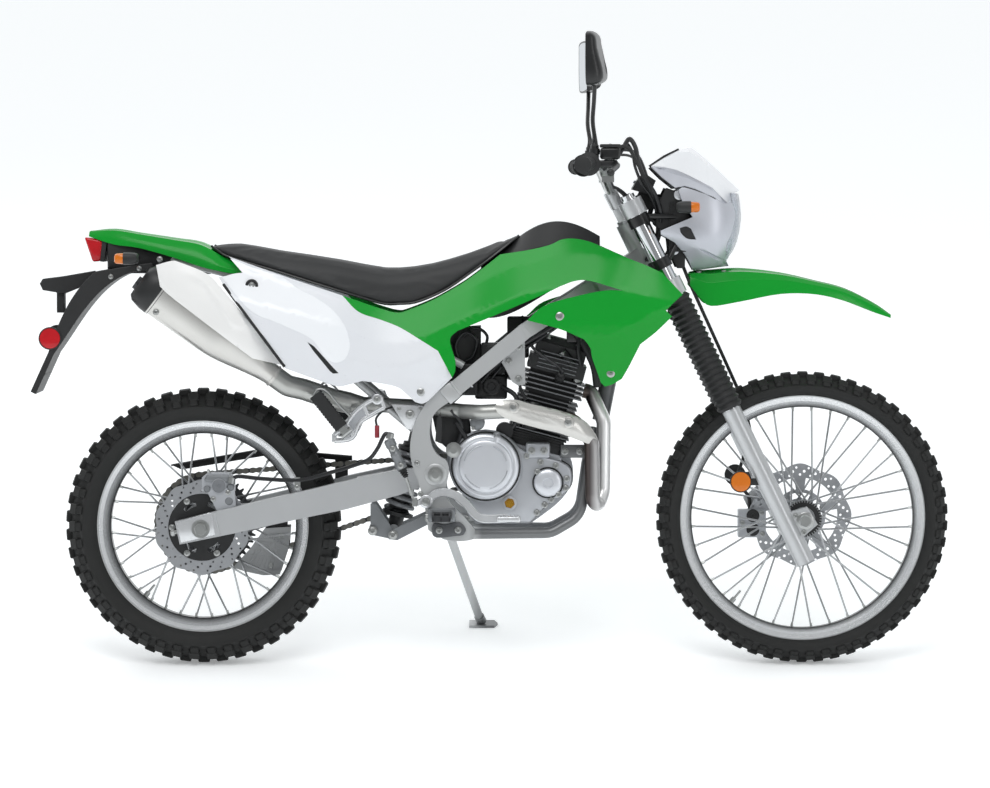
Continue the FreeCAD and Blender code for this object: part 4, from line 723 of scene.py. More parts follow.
def grow(tree, unit, material, points=(), lines=(), turns=(), **sizes):
    """Runs a tree on points with one unit, and gives the plain form back."""
    forms = bpy.data.collections.get("forms") or bpy.data.collections.new("forms")
    if forms.name not in bpy.context.scene.collection.children:
        bpy.context.scene.collection.children.link(forms)
    unit_mesh = bpy.data.meshes.new("unit")
    unit_mesh.from_pydata(unit[0], [], unit[1])
    unit_piece = bpy.data.objects.new("unit", unit_mesh)
    base = bpy.data.meshes.new("base")
    base.from_pydata([Vector(p) for p in points], lines, [])
    if turns:
        held = base.attributes.new("turn", "QUATERNION", "POINT")
        for k, turn in enumerate(turns):
            held.data[k].value = turn
    piece = bpy.data.objects.new("base", base)
    forms.objects.link(unit_piece)
    forms.objects.link(piece)
    rule = piece.modifiers.new("rule", "NODES")
    rule.node_group = tree
    ids = {s.name: s.identifier for s in tree.interface.items_tree if s.in_out == "INPUT"}
    for key, value in {"Unit": unit_piece, "Finish": MATERIALS[material], **sizes}.items():
        rule[ids[key]] = value
    bpy.context.view_layer.update()
    result = bpy.data.meshes.new_from_object(piece.evaluated_get(bpy.context.evaluated_depsgraph_get()))
    form = [v.co.copy() for v in result.vertices], [list(p.vertices) for p in result.polygons]
    for made in (piece, unit_piece):
        bpy.data.objects.remove(made)
    for made in (base, unit_mesh, result):
        bpy.data.meshes.remove(made)
    return form


def spots(unit, material, places):
    """A unit at each place, its z along the way the place faces: [(point, direction), ...]."""
    turns = [Vector(UP).rotation_difference(Vector(d).normalized()) for _, d in places]
    return grow(SPOT_ROW, unit, material, [p for p, _ in places], turns=turns)


def around(axle, unit, material, count, phase=0.0, uneven=0.0, seed=1):
    """A unit drawn about the origin, repeated about an axle."""
    form = grow(TURN_ROW, unit, material, [(0, 0, 0)], Count=count, Phase=phase, Uneven=uneven, Seed=seed)
    return moved(form, Matrix.Translation(axle))


def facing(way, *points):
    return [(p, way) for p in points]


def on_sides(y, *places):
    """Places at (x, z) on both flanks, y out from the middle, each facing outward."""
    return [((x, side * y, z), (0, side, 0)) for side in (-1, 1) for x, z in places]


def bolt_form(r, high, hex_r):
    """A flanged bolt head with a hex socket, its seat at the origin."""
    profile = [(-1.0, 0.0), (-1.0, r), (high * 0.3, r), (high * 0.34, r * 0.78), (high * 0.9, r * 0.74),
        (high, r * 0.62)]
    profile += [(high, hex_r), (high * 0.35, hex_r), (high * 0.35, 0.0)]
    return lathe(profile, (0, 0, 0), UP, 12)


# Wheels.

SPOKES = 36
REAR_AXLE = Vector((0, 0, REAR_R))
FRONT_AXLE = Vector((WHEELBASE, 0, FRONT_R))


def lug(radius, crown, height, length, a0, a1, skew=0.0, lean=2.5):
    """One knob of the tread, at the top of the wheel: wider at its foot, its tip on the crown curve."""
    sections = []
    for r, grow_by in ((crown - height - 2.5, lean), (crown, 0.0)):
        corners = []
        for a, end in ((a0, -1), (a1, -1), (a1, 1), (a0, 1)):
            tilt = math.radians(a) + math.copysign(grow_by / r, a - (a0 + a1) / 2)
            reach = radius - crown + r * math.cos(tilt)
            run = end * (length / 2 + grow_by) + skew * (a - (a0 + a1) / 2)
            corners.append((run, r * math.sin(tilt), reach))
        sections.append(corners)
    return bevelled(loft(sections), 1.3)


def tyre(name, body, axle, radius, crown, height, rows, length, bead, flank):
    """Carcass, and per row a split centre block and, between rows, a shoulder block each side."""
    base = crown - height
    arc = [(base * math.sin(math.radians(a)), radius - crown + base * math.cos(math.radians(a)))
        for a in range(0, 61, 6)]
    half = arc + [(p.x, p.y) for p in flow([(y, r, 0) for y, r in [arc[-1], *flank]], 3)][1:]
    half += [(bead[0] + 2.4, bead[1] + 9), (bead[0] + 2.6, bead[1] + 6), (bead[0], bead[1] + 4), bead]
    profile = half + [(-y, r) for y, r in reversed(half)][:-1]
    piece = Piece(name, body, name.replace("_treaded", ""))
    piece.turned("tyre_rubber", profile, axle, LEFT, 144)
    centre = joined([lug(radius, crown, height, length, 1.6, 19), lug(radius, crown, height, length, -19, -1.6)])
    piece.add(around(axle, centre, "tyre_rubber", rows, 0.0, 0.0015, 3), "tyre_rubber")
    for side in (1, -1):
        shoulder = lug(radius, crown, height, length * 0.92, *sorted((side * 31, side * 53)), skew=0.06 * side)
        step = lug(radius, crown - 3.5, height - 4, length * 0.7, *sorted((side * 53, side * 70)), lean=3.5)
        piece.add(around(axle, joined([shoulder, step]), "tyre_rubber", rows, 0.5, 0.002, 5), "tyre_rubber")
    return piece.done()


def ring_line(r, count, phase=0.0, wave=0.0, lobes=1):
    points = []
    for k in range(count):
        a = 2 * math.pi * (k + phase) / count
        reach = r + wave * math.cos(lobes * a)
        points.append((reach * math.sin(a), reach * math.cos(a)))
    return points


def hole(u, v, r, steps=8):
    return [(u + x, v + z) for x, z in ring_line(r, steps)]


def flat_at(axle, y, push=1.0):
    return lambda u, v, depth: (axle.x + u, y + push * depth, axle.z + v)


def polar(r, degrees):
    return r * math.sin(math.radians(degrees)), r * math.cos(math.radians(degrees))


def arc_slot(r0, r1, start, end, steps=6):
    """The outline of an arched opening between two radii."""
    outer = [polar(r1, start + (end - start) * k / steps) for k in range(steps + 1)]
    inner = [polar(r0, end - (end - start) * k / steps) for k in range(steps + 1)]
    return outer + inner


def rear_disc():
    piece = Piece("rear_disc_drilled", "rear_wheel", "rear_disc")
    edge = ring_line(107.0, 80, 0.0, 3.0, 10)
    holes = []
    for k in range(20):
        for r, lead, size in ((83.5, 0.0, 2.6), (92.0, 6.0, 3.0), (100.5, 11.0, 2.6)):
            holes.append(hole(*polar(r, 18 * k + lead), size))
    holes.append(ring_line(77.5, 60))
    piece.add(sheet(edge, flat_at(REAR_AXLE, -64.5), 5.0, holes), "brushed_disc_steel")
    slots = [arc_slot(50, 60, 60 * k + 14, 60 * k + 46) for k in range(6)] + [ring_line(14.2, 24)]
    piece.add(sheet(ring_line(77.2, 60), flat_at(REAR_AXLE, -63.9), 4.4, slots), BLACK_PAINT)
    piece.turned(BLACK_PAINT, [(-59.6, 14), (-59.6, 44), (-50.3, 46), (-50.3, 14)], REAR_AXLE, LEFT, 40)
    heads = [((x, -63.9, REAR_R + z), RIGHT) for x, z in [polar(68.5, 60 * k + 30) for k in range(6)]]
    piece.bolts(heads, 7.5, 5.0, 2.6)
    return piece.done()


def front_disc():
    piece = Piece("front_disc_drilled", "front_wheel", "front_disc")
    edge = ring_line(116.0, 96, 0.0, 4.0, 8)
    holes = []
    for k in range(24):
        for r, lead, size in ((94.0, 0.0, 3.0), (102.0, 5.5, 3.4), (110.5, 10.5, 2.8)):
            holes.append(hole(*polar(r, 15 * k + lead), size))
    holes += [arc_slot(60, 87, 72 * k + 9, 72 * k + 63, 10) for k in range(5)]
    holes += [arc_slot(39, 52, 72 * k + 45, 72 * k + 99, 8) for k in range(5)]
    holes.append(ring_line(10.4, 24))
    piece.add(sheet(edge, flat_at(FRONT_AXLE, 60.0), 4.0, holes), "brushed_disc_steel")
    piece.turned("satin_aluminium", [(52.3, 10.3), (52.3, 33.5), (60, 33.5), (60, 10.3)], FRONT_AXLE, LEFT, 40)
    heads = [((WHEELBASE + x, 64.0, FRONT_R + z), LEFT) for x, z in [polar(56, 72 * k) for k in range(5)]]
    piece.bolts(heads, 8, 5, 3)
    return piece.done()


def nipples():
    """Spoke nipples, and the rim's valve and lock nut."""
    for name, body, axle, rim_r in (("front_nipples", "front_wheel", FRONT_AXLE, 255.0),
            ("rear_nipples", "rear_wheel", REAR_AXLE, 213.0)):
        piece = Piece(name, body)
        for side, phase in ((1, 0.5), (-1, 1.5)):
            unit = lathe([(-9, 0), (-9, 2.6), (-1, 3.4), (0.2, 5.2), (0.2, 0)], (0, 4.0 * side, rim_r), UP, 8)
            piece.add(around(axle, unit, ZINC, SPOKES // 2, phase / 2), ZINC)
        valve = lathe([(-34, 0), (-34, 2.6), (-12, 3.0), (-12, 6.0), (0, 6.0), (0, 0)], (0, 0, rim_r), UP, 12)
        piece.add(around(axle, valve, ZINC, 1, 0.61), ZINC)
        piece.done()


# Bodywork.

SKIN = [
    (10, [(92, 968), (98, 935), (150, 862), (166, 800), (166, 640)]),
    (150, [(112, 920), (118, 893), (160, 830), (172, 760), (172, 620)]),
    (300, [(114, 872), (120, 848), (152, 790), (164, 720), (158, 600)]),
    (450, [(104, 826), (112, 804), (138, 745), (152, 690), (146, 580)]),
    (600, [(88, 900), (102, 866), (138, 800), (152, 745), (146, 600)]),
    (750, [(96, 968), (112, 928), (152, 858), (164, 790), (156, 640)]),
    (900, [(104, 985), (132, 946), (172, 872), (186, 790), (172, 640)]),
    (1010, [(150, 940), (165, 910), (190, 852), (198, 790), (180, 630)]),
    (1110, [(170, 880), (178, 860), (192, 832), (192, 800), (176, 690)]),
]

WHITE = [[(184, 898), (325, 851)], [(362, 814), (412, 796), (457, 778), (514, 744), (543, 726)], [(561, 692)],
    [(575, 665)], [(520, 612)], [(507, 606), (491, 610)], [(468, 631), (450, 644), (412, 653), (371, 658)],
    [(343, 651), (321, 646), (298, 651), (253, 667), (198, 687)], [(54, 878)], [(44, 893)], [(76, 898), (101, 903)],
    [(67, 939)]]

GREEN = [[(412, 821), (448, 812), (470, 816), (525, 838), (570, 862), (616, 891), (684, 944)], [(752, 955),
    (797, 966), (824, 978), (854, 980), (888, 973), (922, 959)], [(967, 939), (1013, 921), (1051, 903)],
    [(1096, 855)], [(1058, 819)], [(1072, 805)], [(1035, 769), (1001, 742)], [(974, 687), (960, 662)],
    [(938, 649), (922, 644)], [(913, 653)], [(904, 678), (892, 712), (888, 733), (874, 753)],
    [(820, 776), (745, 796)], [(786, 830), (865, 853), (922, 864), (960, 864)], [(888, 885), (854, 885), (820, 873)],
    [(774, 851), (684, 812), (586, 771)], [(570, 751), (582, 705), (582, 680)], [(575, 665)], [(561, 692)],
    [(543, 726)], [(514, 744), (457, 778), (412, 796), (362, 814), (325, 851)]]


def skin_lines():
    """The skin's lengthwise creases, each a smooth line through one corner of every station."""
    lines = []
    for k in range(5):
        lines.append(flow([(x, corners[k][0], corners[k][1]) for x, corners in SKIN], 12))
    return lines


def line_at(line, x):
    """Where a line that runs forward passes x."""
    for p, q in zip(line, line[1:]):
        if p.x <= x <= q.x:
            t = (x - p.x) / (q.x - p.x)
            return p.lerp(q, t)
    return line[0] if x < line[0].x else line[-1]


def skin_y(x, z):
    column = [line_at(line, x) for line in SKIN_LINES]
    for p, q in zip(column, column[1:]):
        if z >= q.z or q is column[-1]:
            t = (z - p.z) / (q.z - p.z)
            return p.y + (q.y - p.y) * t


def skin_folds(edge):
    """The stretches of the skin's creases that lie inside an outline."""
    folds = []
    for line in SKIN_LINES[1:4]:
        run = []
        for p in line:
            if inside(p.x, p.z, [edge]):
                run.append((p.x, p.z))
            elif len(run) > 1:
                folds.append(run)
                run = []
        if len(run) > 1:
            folds.append(run)
    return folds


def clip(points, edge):
    return [p for p in points if inside(p[0], p[1], [edge])]


def smoothstep(t):
    t = min(1.0, max(0.0, t))
    return t * t * (3 - 2 * t)


def height_over(line, x):
    """How high a side-view line passes at x."""
    for (x0, z0), (x1, z1) in zip(line, line[1:]):
        if x0 <= x <= x1:
            return z0 + (z1 - z0) * (x - x0) / (x1 - x0)
    return line[0][1] if x < line[0][0] else line[-1][1]


SHROUD_CREASE = [(853, 767), (910, 761), (955, 767), (1023, 815), (1073, 835)]
PATCH = [[(88, 850), (127, 812), (180, 790), (248, 759), (270, 738), (287, 713), (300, 703), (315, 700), (332, 708),
    (342, 728), (342, 750), (330, 786), (300, 822), (262, 848), (233, 862)], [(190, 893)], [(70, 934)], [(98, 903)],
    [(76, 900), (52, 893)]]
SLOT = [(246.5, 748), (263, 737), (305.5, 689), (318, 676), (305.5, 675), (298, 681), (260, 728)]


def shroud_dent(x, z):
    """The lower wing folds in below its crease, and the top edge rolls over the tank."""
    below = height_over(SHROUD_CREASE, x) - z
    return -0.42 * max(0.0, below) * smoothstep((x - 840) / 60)


def white_dent(x, z):
    """The panel falls away below a crease that runs down to its bolt."""
    across_crease = (x - 367) * 0.724 + (z - 740) * 0.689
    return -0.22 * max(0.0, across_crease) * smoothstep((x - 330) / 60) * smoothstep((700 - z) / 60)


def body_bolt(piece, x, z, dent, r, grommet):
    for side in (-1, 1):
        y = side * (skin_y(x, z) + dent(x, z))
        d = (0, side, 0)
        if grommet:
            washer = [(-3, r * 0.55), (1.2, r * 0.55), (2.2, r * 0.7), (1.2, r), (-3, r)]
            piece.turned(RUBBER, washer, (x, y, z), d, 24)
            r = r * 0.5
        head = lathe([(-3, 0), (-3, r), (1.0, r), (2.6, r * 0.7), (2.6, r * 0.36), (0.6, r * 0.36), (0.6, 0)],
            (x, y, z), d, 18)
        piece.add(head, ZINC)
        r = r * 2 if grommet else r


def side_panels():
    edge = outline(WHITE)
    piece = Piece("side_panels_moulded", "chassis", "side_panels")
    folds = skin_folds(edge) + [clip([(367 + k * 14.75, 740 - k * 15.5) for k in range(9)], edge)]
    patch = outline(PATCH)
    for side in (-1, 1):
        def place(x, z, depth):
            return x, side * (skin_y(x, z) + white_dent(x, z) - depth), z
        piece.add(sheet(edge, place, 3.6, [SLOT], [f for f in folds if len(f) > 1], 15.0),
            "white_moulded_polypropylene")
        piece.add(sheet(patch, lambda x, z, depth: place(x, z, depth - 0.9), 1.6, (),
            [f for f in skin_folds(patch) if len(f) > 1], 15.0), "white_gloss_polypropylene")
        floor = [(x + dx, z) for (x, z), dx in zip(SLOT, (-4, 2, 4, 6, 0, -6, -6))]
        piece.add(sheet(floor, lambda x, z, depth: place(x, z, depth + 3.8), 2.0), GRAINED)
        # A black rubber bar along the panel's rear edge: painted shade for the shadow gap there.
        shade_strip = [(x, side * (skin_y(x, z) + 0.5), z) for x, z in ((56, 877), (104, 814), (152, 750), (196, 691))]
        piece.hose(RUBBER, shade_strip, 3.4, 10, 4)
    body_bolt(piece, 120, 874, white_dent, 14.7, True)
    body_bolt(piece, 503, 632, white_dent, 9.5, False)
    return piece.done(0.8)


def shrouds():
    edge = outline(GREEN)
    piece = Piece("shrouds_moulded", "chassis", "shrouds")
    folds = [f for f in skin_folds(edge) + [clip([(x, height_over(SHROUD_CREASE, x)) for x in range(853, 1080, 12)],
        edge)] if len(f) > 1]
    for side in (-1, 1):
        def place(x, z, depth):
            return x, side * (skin_y(x, z) + shroud_dent(x, z) - depth), z
        piece.add(sheet(edge, place, 3.6, (), folds, 15.0), "green_moulded_polypropylene")
    body_bolt(piece, 819, 805, shroud_dent, 10.0, False)
    body_bolt(piece, 935, 675, shroud_dent, 9.5, False)
    return piece.done(0.8)


# Seat: a foam pad under stretched vinyl, swollen by a cloth simulation, then trimmed.

SEAT_ROWS = [(24, 60, 960, 965), (40, 74, 949, 968), (62, 84, 937, 970), (120, 98, 919, 961), (180, 106, 902, 950),
    (250, 108, 880, 940), (320, 107, 858, 929), (372, 103, 842, 919), (421, 98, 829, 911), (455, 94, 829, 911),
    (489, 91, 832, 914), (530, 87, 847, 921), (569, 82, 867, 931), (615, 76, 899, 945), (661, 69, 932, 962),
    (700, 56, 962, 979), (727, 40, 983, 991)]
SEAT_CAP = 5.0


def seat_section(x, half, low, high):
    tall = high - low
    side = [(half - 5, low), (half, low + 0.3 * tall), (half * 0.965, low + 0.62 * tall),
        (half * 0.86, high - 0.14 * tall), (half * 0.66, high - 0.045 * tall), (half * 0.35, high - 0.01 * tall)]
    ring = [(x, -y, z) for y, z in side] + [(x, 0, high)] + [(x, y, z) for y, z in reversed(side)]
    return ring + [(x, 0, low)]


def swollen(form, cell, pressure, cap, pinned):
    """Cloth: the form is remeshed and blown up, no point moving more than cap mm; pinned(v) holds some still."""
    data = bpy.data.meshes.new("pad")
    data.from_pydata([Vector(v) * MM for v in form[0]], [], form[1])
    bm = bmesh.new()
    bm.from_mesh(data)
    bmesh.ops.recalc_face_normals(bm, faces=bm.faces)
    bm.to_mesh(data)
    bm.free()
    pad = bpy.data.objects.new("pad", data)
    bpy.context.scene.collection.objects.link(pad)
    mesher = pad.modifiers.new("mesher", "REMESH")
    mesher.mode = "VOXEL"
    mesher.voxel_size = cell * MM
    plain = bpy.data.meshes.new_from_object(pad.evaluated_get(bpy.context.evaluated_depsgraph_get()))
    pad.modifiers.clear()
    pad.data = plain
    start = [v.co.copy() for v in plain.vertices]
    group = pad.vertex_groups.new(name="held")
    group.add([k for k, p in enumerate(start) if pinned(p / MM)], 1.0, "REPLACE")
    cloth = pad.modifiers.new("cloth", "CLOTH")
    cloth.settings.use_pressure = True
    cloth.settings.uniform_pressure_force = pressure
    cloth.settings.effector_weights.gravity = 0
    cloth.settings.vertex_group_mass = "held"
    scene = bpy.context.scene
    for step in range(1, 21):
        scene.frame_set(step)
    blown = bpy.data.meshes.new_from_object(pad.evaluated_get(bpy.context.evaluated_depsgraph_get()))
    for k, v in enumerate(blown.vertices):
        way = v.co - start[k]
        start[k] += way * min(1.0, cap * MM / max(way.length, 1e-9))
    scene.frame_set(1)
    made = [p / MM for p in start], [list(f.vertices) for f in plain.polygons]
    bpy.data.objects.remove(pad)
    return made


def seat():
    rows = [(x, half - 3.0, low, high - 3.0) for x, half, low, high in SEAT_ROWS]
    form = loft([seat_section(*row) for row in rows])

    def pinned(p):
        low = height_over([(x, low) for x, _, low, _ in SEAT_ROWS], p.x)
        return p.z < low + 12
    piece = Piece("seat_padded", "chassis", "seat")
    piece.add(swollen(form, 6.0, 4.0, SEAT_CAP, pinned), "seat_vinyl")
    made = piece.done(levels=1)
    piping = Piece("seat_base_edge", "chassis")
    for side in (-1, 1):
        line = flow([(x, side * (half - 2.5), low + 2.5) for x, half, low, _ in SEAT_ROWS], 3)
        piping.bar(SMOOTH, line, 3.0, 8)
    piping.done()
    return made


# Exhaust.

MUFFLER_REAR = Vector((-90, -140, 857))
MUFFLER_FRONT = Vector((172, -108, 665))
COVER = [[(-59, 930.5), (-41, 927.5), (20, 901.5), (50, 872)], [(199, 691)], [(122, 709)],
    [(32, 779), (-56, 847.5), (-83.5, 873)], [(-92.5, 921.5)]]
COVER_CREASE = [(-28, 899), (14, 878), (38, 843), (57, 815), (82, 780)]


def muffler_at(x, z):
    """Where a side-view point lies on the silencer: share of its length, and height over its axis."""
    run = MUFFLER_FRONT - MUFFLER_REAR
    flat = Vector((run.x, run.z))
    away = Vector((x - MUFFLER_REAR.x, z - MUFFLER_REAR.z))
    s = away.dot(flat) / flat.length_squared
    h = (away.x * -flat.y + away.y * flat.x) / flat.length
    return s, h


def muffler_size(s):
    s = min(1.0, max(-0.3, s))
    t = smoothstep((s - 0.45) / 0.55)
    return 45 - 20.5 * t, 53 - 2 * s - 26.5 * t


def muffler_section(s, grow_by=0.0, steps=28):
    run = MUFFLER_FRONT - MUFFLER_REAR
    d = run.normalized()
    up = d.cross(Vector(LEFT)).normalized()
    beside = up.cross(d)
    half_w, half_h = muffler_size(s)
    points = []
    for k in range(steps):
        a = 2 * math.pi * k / steps
        c, n = math.cos(a), math.sin(a)
        power = 0.8 if s < 0.9 else 1.0
        y = (half_w + grow_by) * math.copysign(abs(c) ** power, c)
        h = (half_h + grow_by) * math.copysign(abs(n) ** power, n)
        points.append(MUFFLER_REAR + run * s + beside * y + up * h)
    return points


def muffler():
    piece = Piece("silencer", "chassis", "muffler", "muffler_cap")
    piece.add(loft([muffler_section(s / 20) for s in range(21)]), STAINLESS)
    for s in (0.002, 0.985):
        piece.add(loft([muffler_section(s - 0.008, 0.2), muffler_section(s - 0.006, 2.2),
            muffler_section(s + 0.006, 2.2), muffler_section(s + 0.008, 0.2)]), STAINLESS)

    def on_cover(x, z, depth):
        s, h = muffler_at(x, z)
        half_w, half_h = muffler_size(s)
        ridge = 3.5 * smoothstep((z - height_over(COVER_CREASE, x) + 6) / 12) * smoothstep((x + 50) / 60)
        y = MUFFLER_REAR.y + (MUFFLER_FRONT.y - MUFFLER_REAR.y) * s
        return x, y - (half_w + 4 + ridge - depth) + 0.0032 * max(0.0, h - 8) ** 2, z
    cover = outline(COVER)
    crease = clip([(x, height_over(COVER_CREASE, x)) for x in range(-26, 82, 8)], cover)
    piece.add(sheet(cover, on_cover, 2.2, (), [crease], 9.0), "silver_painted_cover")
    d = (MUFFLER_FRONT - MUFFLER_REAR).normalized()
    cap = []
    for back, grow_by, lift in ((-0.012, 1.4, 0), (0.0, 2.2, 0), (0.055, 1.0, 0), (0.13, -6, -2), (0.16, -16, -4)):
        section = muffler_section(-back, grow_by)
        cap.append([p + Vector((0, 0, lift)) for p in section])
    piece.add(loft(cap), BLACK_PAINT)
    outlet = MUFFLER_REAR - d * 42 + Vector((0, 0, -12))
    piece.turned("dark_steel", [(0, 13.5), (22, 13.5), (22, 16), (0, 16)], outlet, -d, 32)
    piece.boss(BLACK_PAINT, [(2, 13.6), (3, 13.6)], outlet, -d, 24)
    bolts = [((x, y, z), RIGHT) for x, y, z in ((-94, -178, 815), (-88, -140, 934))]
    piece.bolts(bolts, 7, 5, 2.5)
    return piece.done(0.6)


def shell(rows, thick):
    """A thin wall over an open net of points, its outer face on the points' left when walking row to row."""
    count, width = len(rows), len(rows[0])
    points = [[Vector(p) for p in row] for row in rows]
    inner = []
    for i in range(count):
        for k in range(width):
            down = points[min(i + 1, count - 1)][k] - points[max(i - 1, 0)][k]
            over = points[i][min(k + 1, width - 1)] - points[i][max(k - 1, 0)]
            normal = down.cross(over)
            inner.append(points[i][k] - normal.normalized() * thick)
    verts = [p for row in points for p in row] + inner
    n = count * width
    faces = net(count, width, False, False)
    faces += [[k + n for k in reversed(face)] for face in faces]
    rim = [k for k in range(width)] + [i * width + width - 1 for i in range(1, count)]
    rim += [(count - 1) * width + k for k in range(width - 2, -1, -1)] + [i * width for i in range(count - 2, 0, -1)]
    for a, b in zip(rim, rim[1:] + rim[:1]):
        faces.append([a, b, b + n, a + n])
    return weld(verts, faces)


# Lamp cowl: a visor over a face that wraps round the lens.

COWL_BACK = 1078.0
COWL_FRONT = [(900, 1196), (928, 1206), (958, 1223), (988, 1233), (1030, 1238), (1055, 1236), (1088, 1231)]
COWL_HALF = [(900, 56), (906, 62), (940, 86), (980, 104), (1040, 107), (1090, 101), (1120, 92)]
LENS_SIDE = [(925, 1201), (934, 1199), (966, 1201), (993, 1212), (1032, 1220), (1060, 1214), (1084, 1211)]
VISOR_TOP = [(1031, 0, 1143), (1064, 0, 1164), (1098, 0, 1181.5), (1121, 0, 1186), (1139.5, 0, 1173), (1185, 0, 1132),
    (1232, 0, 1088)]
VISOR_SIDE = [(1036, 66, 1143), (1058, 74, 1141), (1085, 80, 1135), (1110, 83, 1124), (1134, 84, 1112),
    (1166, 80, 1095), (1204, 62, 1057)]
VISOR_CREASE = [(1028, 72, 1142), (1052.6, 86, 1118), (1082, 97, 1095), (1104, 100.5, 1099), (1127, 101, 1092.5),
    (1172, 97, 1073), (1216, 72, 1036)]


def graph(points, at):
    """A smooth curve's value at a place, both ends held."""
    line = [(p.x, p.y) for p in flow([(a, b, 0) for a, b in points], 6)]
    return height_over(line, at)


def cowl_y(x, z):
    reach = min(1.0, max(0.0, (x - COWL_BACK) / (graph(COWL_FRONT, z) - COWL_BACK)))
    return graph(COWL_HALF, z) * (1 - reach ** 3) ** (1 / 3)


def cowl_x(y, z):
    share = min(1.0, abs(y) / graph(COWL_HALF, z))
    return COWL_BACK + (graph(COWL_FRONT, z) - COWL_BACK) * (1 - share ** 3) ** (1 / 3)


def partway(p, q, share):
    return Vector(p).lerp(Vector(q), share)


def cowl():
    piece = Piece("lamp_cowl", "fork", "headlight_cowl")
    crease = [(1047, 996), (1099.6, 979), (1134, 959), (1199, 930)]
    edge = outline([[(1104, 1099), (1127, 1092.5), (1160, 1079), (1192, 1060)], [(1213, 1062)],
        [(1220, 1032), (1212, 993), (1201, 966), (1199, 934)], [(1210, 916)], [(1127, 906)],
        [(1109, 939), (1082, 971)], [(1050, 989)], [(1049, 998)], [(1122, 1029)], [(1100, 1062), (1090, 1091)]])
    vent = outline([[(1107, 1008), (1118, 1003)], [(1127, 985), (1130, 978)],
        [(1110, 980), (1096, 992), (1092, 1004)]])
    for side in (-1, 1):
        def place(x, z, depth):
            below = max(0.0, height_over(crease, x) - z)
            return x - 0.35 * depth, side * (cowl_y(x, z) - 0.36 * below - depth), z
        piece.add(sheet(edge, place, 3.0, [vent], [clip(crease, edge)], 9.0), "silver_lacquered_plastic")
        piece.add(sheet(vent, lambda x, z, depth: place(x, z, depth + 3.2), 1.5, (), (), 9.0), GRAINED)
        rows = []
        for k in range(13):
            i = min(k // 2, 5)
            top, edge_in, low = (partway(line[i], line[i + 1], k / 2 - i)
                for line in (VISOR_TOP, VISOR_SIDE, VISOR_CREASE))
            recess = edge_in.lerp(low, 0.28) - Vector((0, 5, 0))
            mid = top.lerp(edge_in, 0.58)
            mid.z = top.z - (top.z - edge_in.z) * 0.16
            row = [top, mid, edge_in, recess, low]
            rows.append([Vector((p.x, side * p.y, p.z)) for p in row])
        rows = rows if side < 0 else rows[::-1]
        piece.add(shell([r[:3] for r in rows], 2.6), "white_lacquered_plastic")
        piece.add(shell([r[2:] for r in rows], 2.6), "silver_lacquered_plastic")
        # A thin black bar under the visor's lower edge: painted shade for the shadow gap beneath the visor.
        piece.bar(RUBBER, [r[4] + Vector((0, -side * 1.5, -1)) for r in rows], 1.5, 8)
    piece.bar(RUBBER, [(1027, 0, 1143.5), (1061, 0, 1166.5), (1095, 0, 1183)], 4.0)
    return piece.done(0.7, 30)


def lens_edge():
    """Half the lens outline in y and z, from the top down."""
    half = [(cowl_y(x, z), z) for z, x in reversed(LENS_SIDE)]
    return [(y - 0.8, z) for y, z in half]


def headlight():
    lens = Piece("headlight_clear_lens", "fork", "headlight_lens")
    half = lens_edge()
    edge = half + [(-y, z) for y, z in reversed(half)]
    lens.add(sheet(edge, lambda y, z, depth: (cowl_x(y, z) - 0.6 - depth, y, z), 2.5, (), (), 9.0),
        "clear_polycarbonate")
    lens.done(0.5)
    inside_lamp = Piece("headlight_reflector", "fork")
    bowl = [(x, 20 + 52 * ((x - 1142) / 62) ** 0.5) for x in (1143, 1150, 1160, 1172, 1186, 1200)]
    profile = bowl + [(x - 2, r + 1.6) for x, r in reversed(bowl)]
    inside_lamp.turned("chromed_reflector", [(x - 1142, r) for x, r in profile], (1142, 0, 1008), AHEAD, 48)
    inside_lamp.turned("chromed_reflector", [(0, 0), (0, 12), (22, 12), (30, 8), (33, 0)], (1146, 0, 1008), AHEAD, 20)
    inside_lamp.done()


# Engine.

CYL_BASE = Vector((765, 0, 505))
CYL_UP = Vector((math.sin(math.radians(15)), 0, math.cos(math.radians(15))))
CYL_FWD = Vector((CYL_UP.z, 0, -CYL_UP.x))
RIGHT_COVER = [[(584, 512), (620, 530)], [(695, 530), (741, 495), (820, 473)], [(846, 452), (842, 409), (793, 375)],
    [(752, 330)], [(636, 333)], [(608, 386), (578, 455)]]
COVER_BOLTS = [(608, 340), (661, 338), (724, 338), (768, 354), (786, 372), (801, 384), (834, 411), (836, 432),
    (811, 462), (776, 470), (745, 484), (607, 521), (587, 471)]


def on_cylinder(s, x=0.0, y=0.0):
    return CYL_BASE + CYL_UP * s + CYL_FWD * x + Vector((0, y, 0))


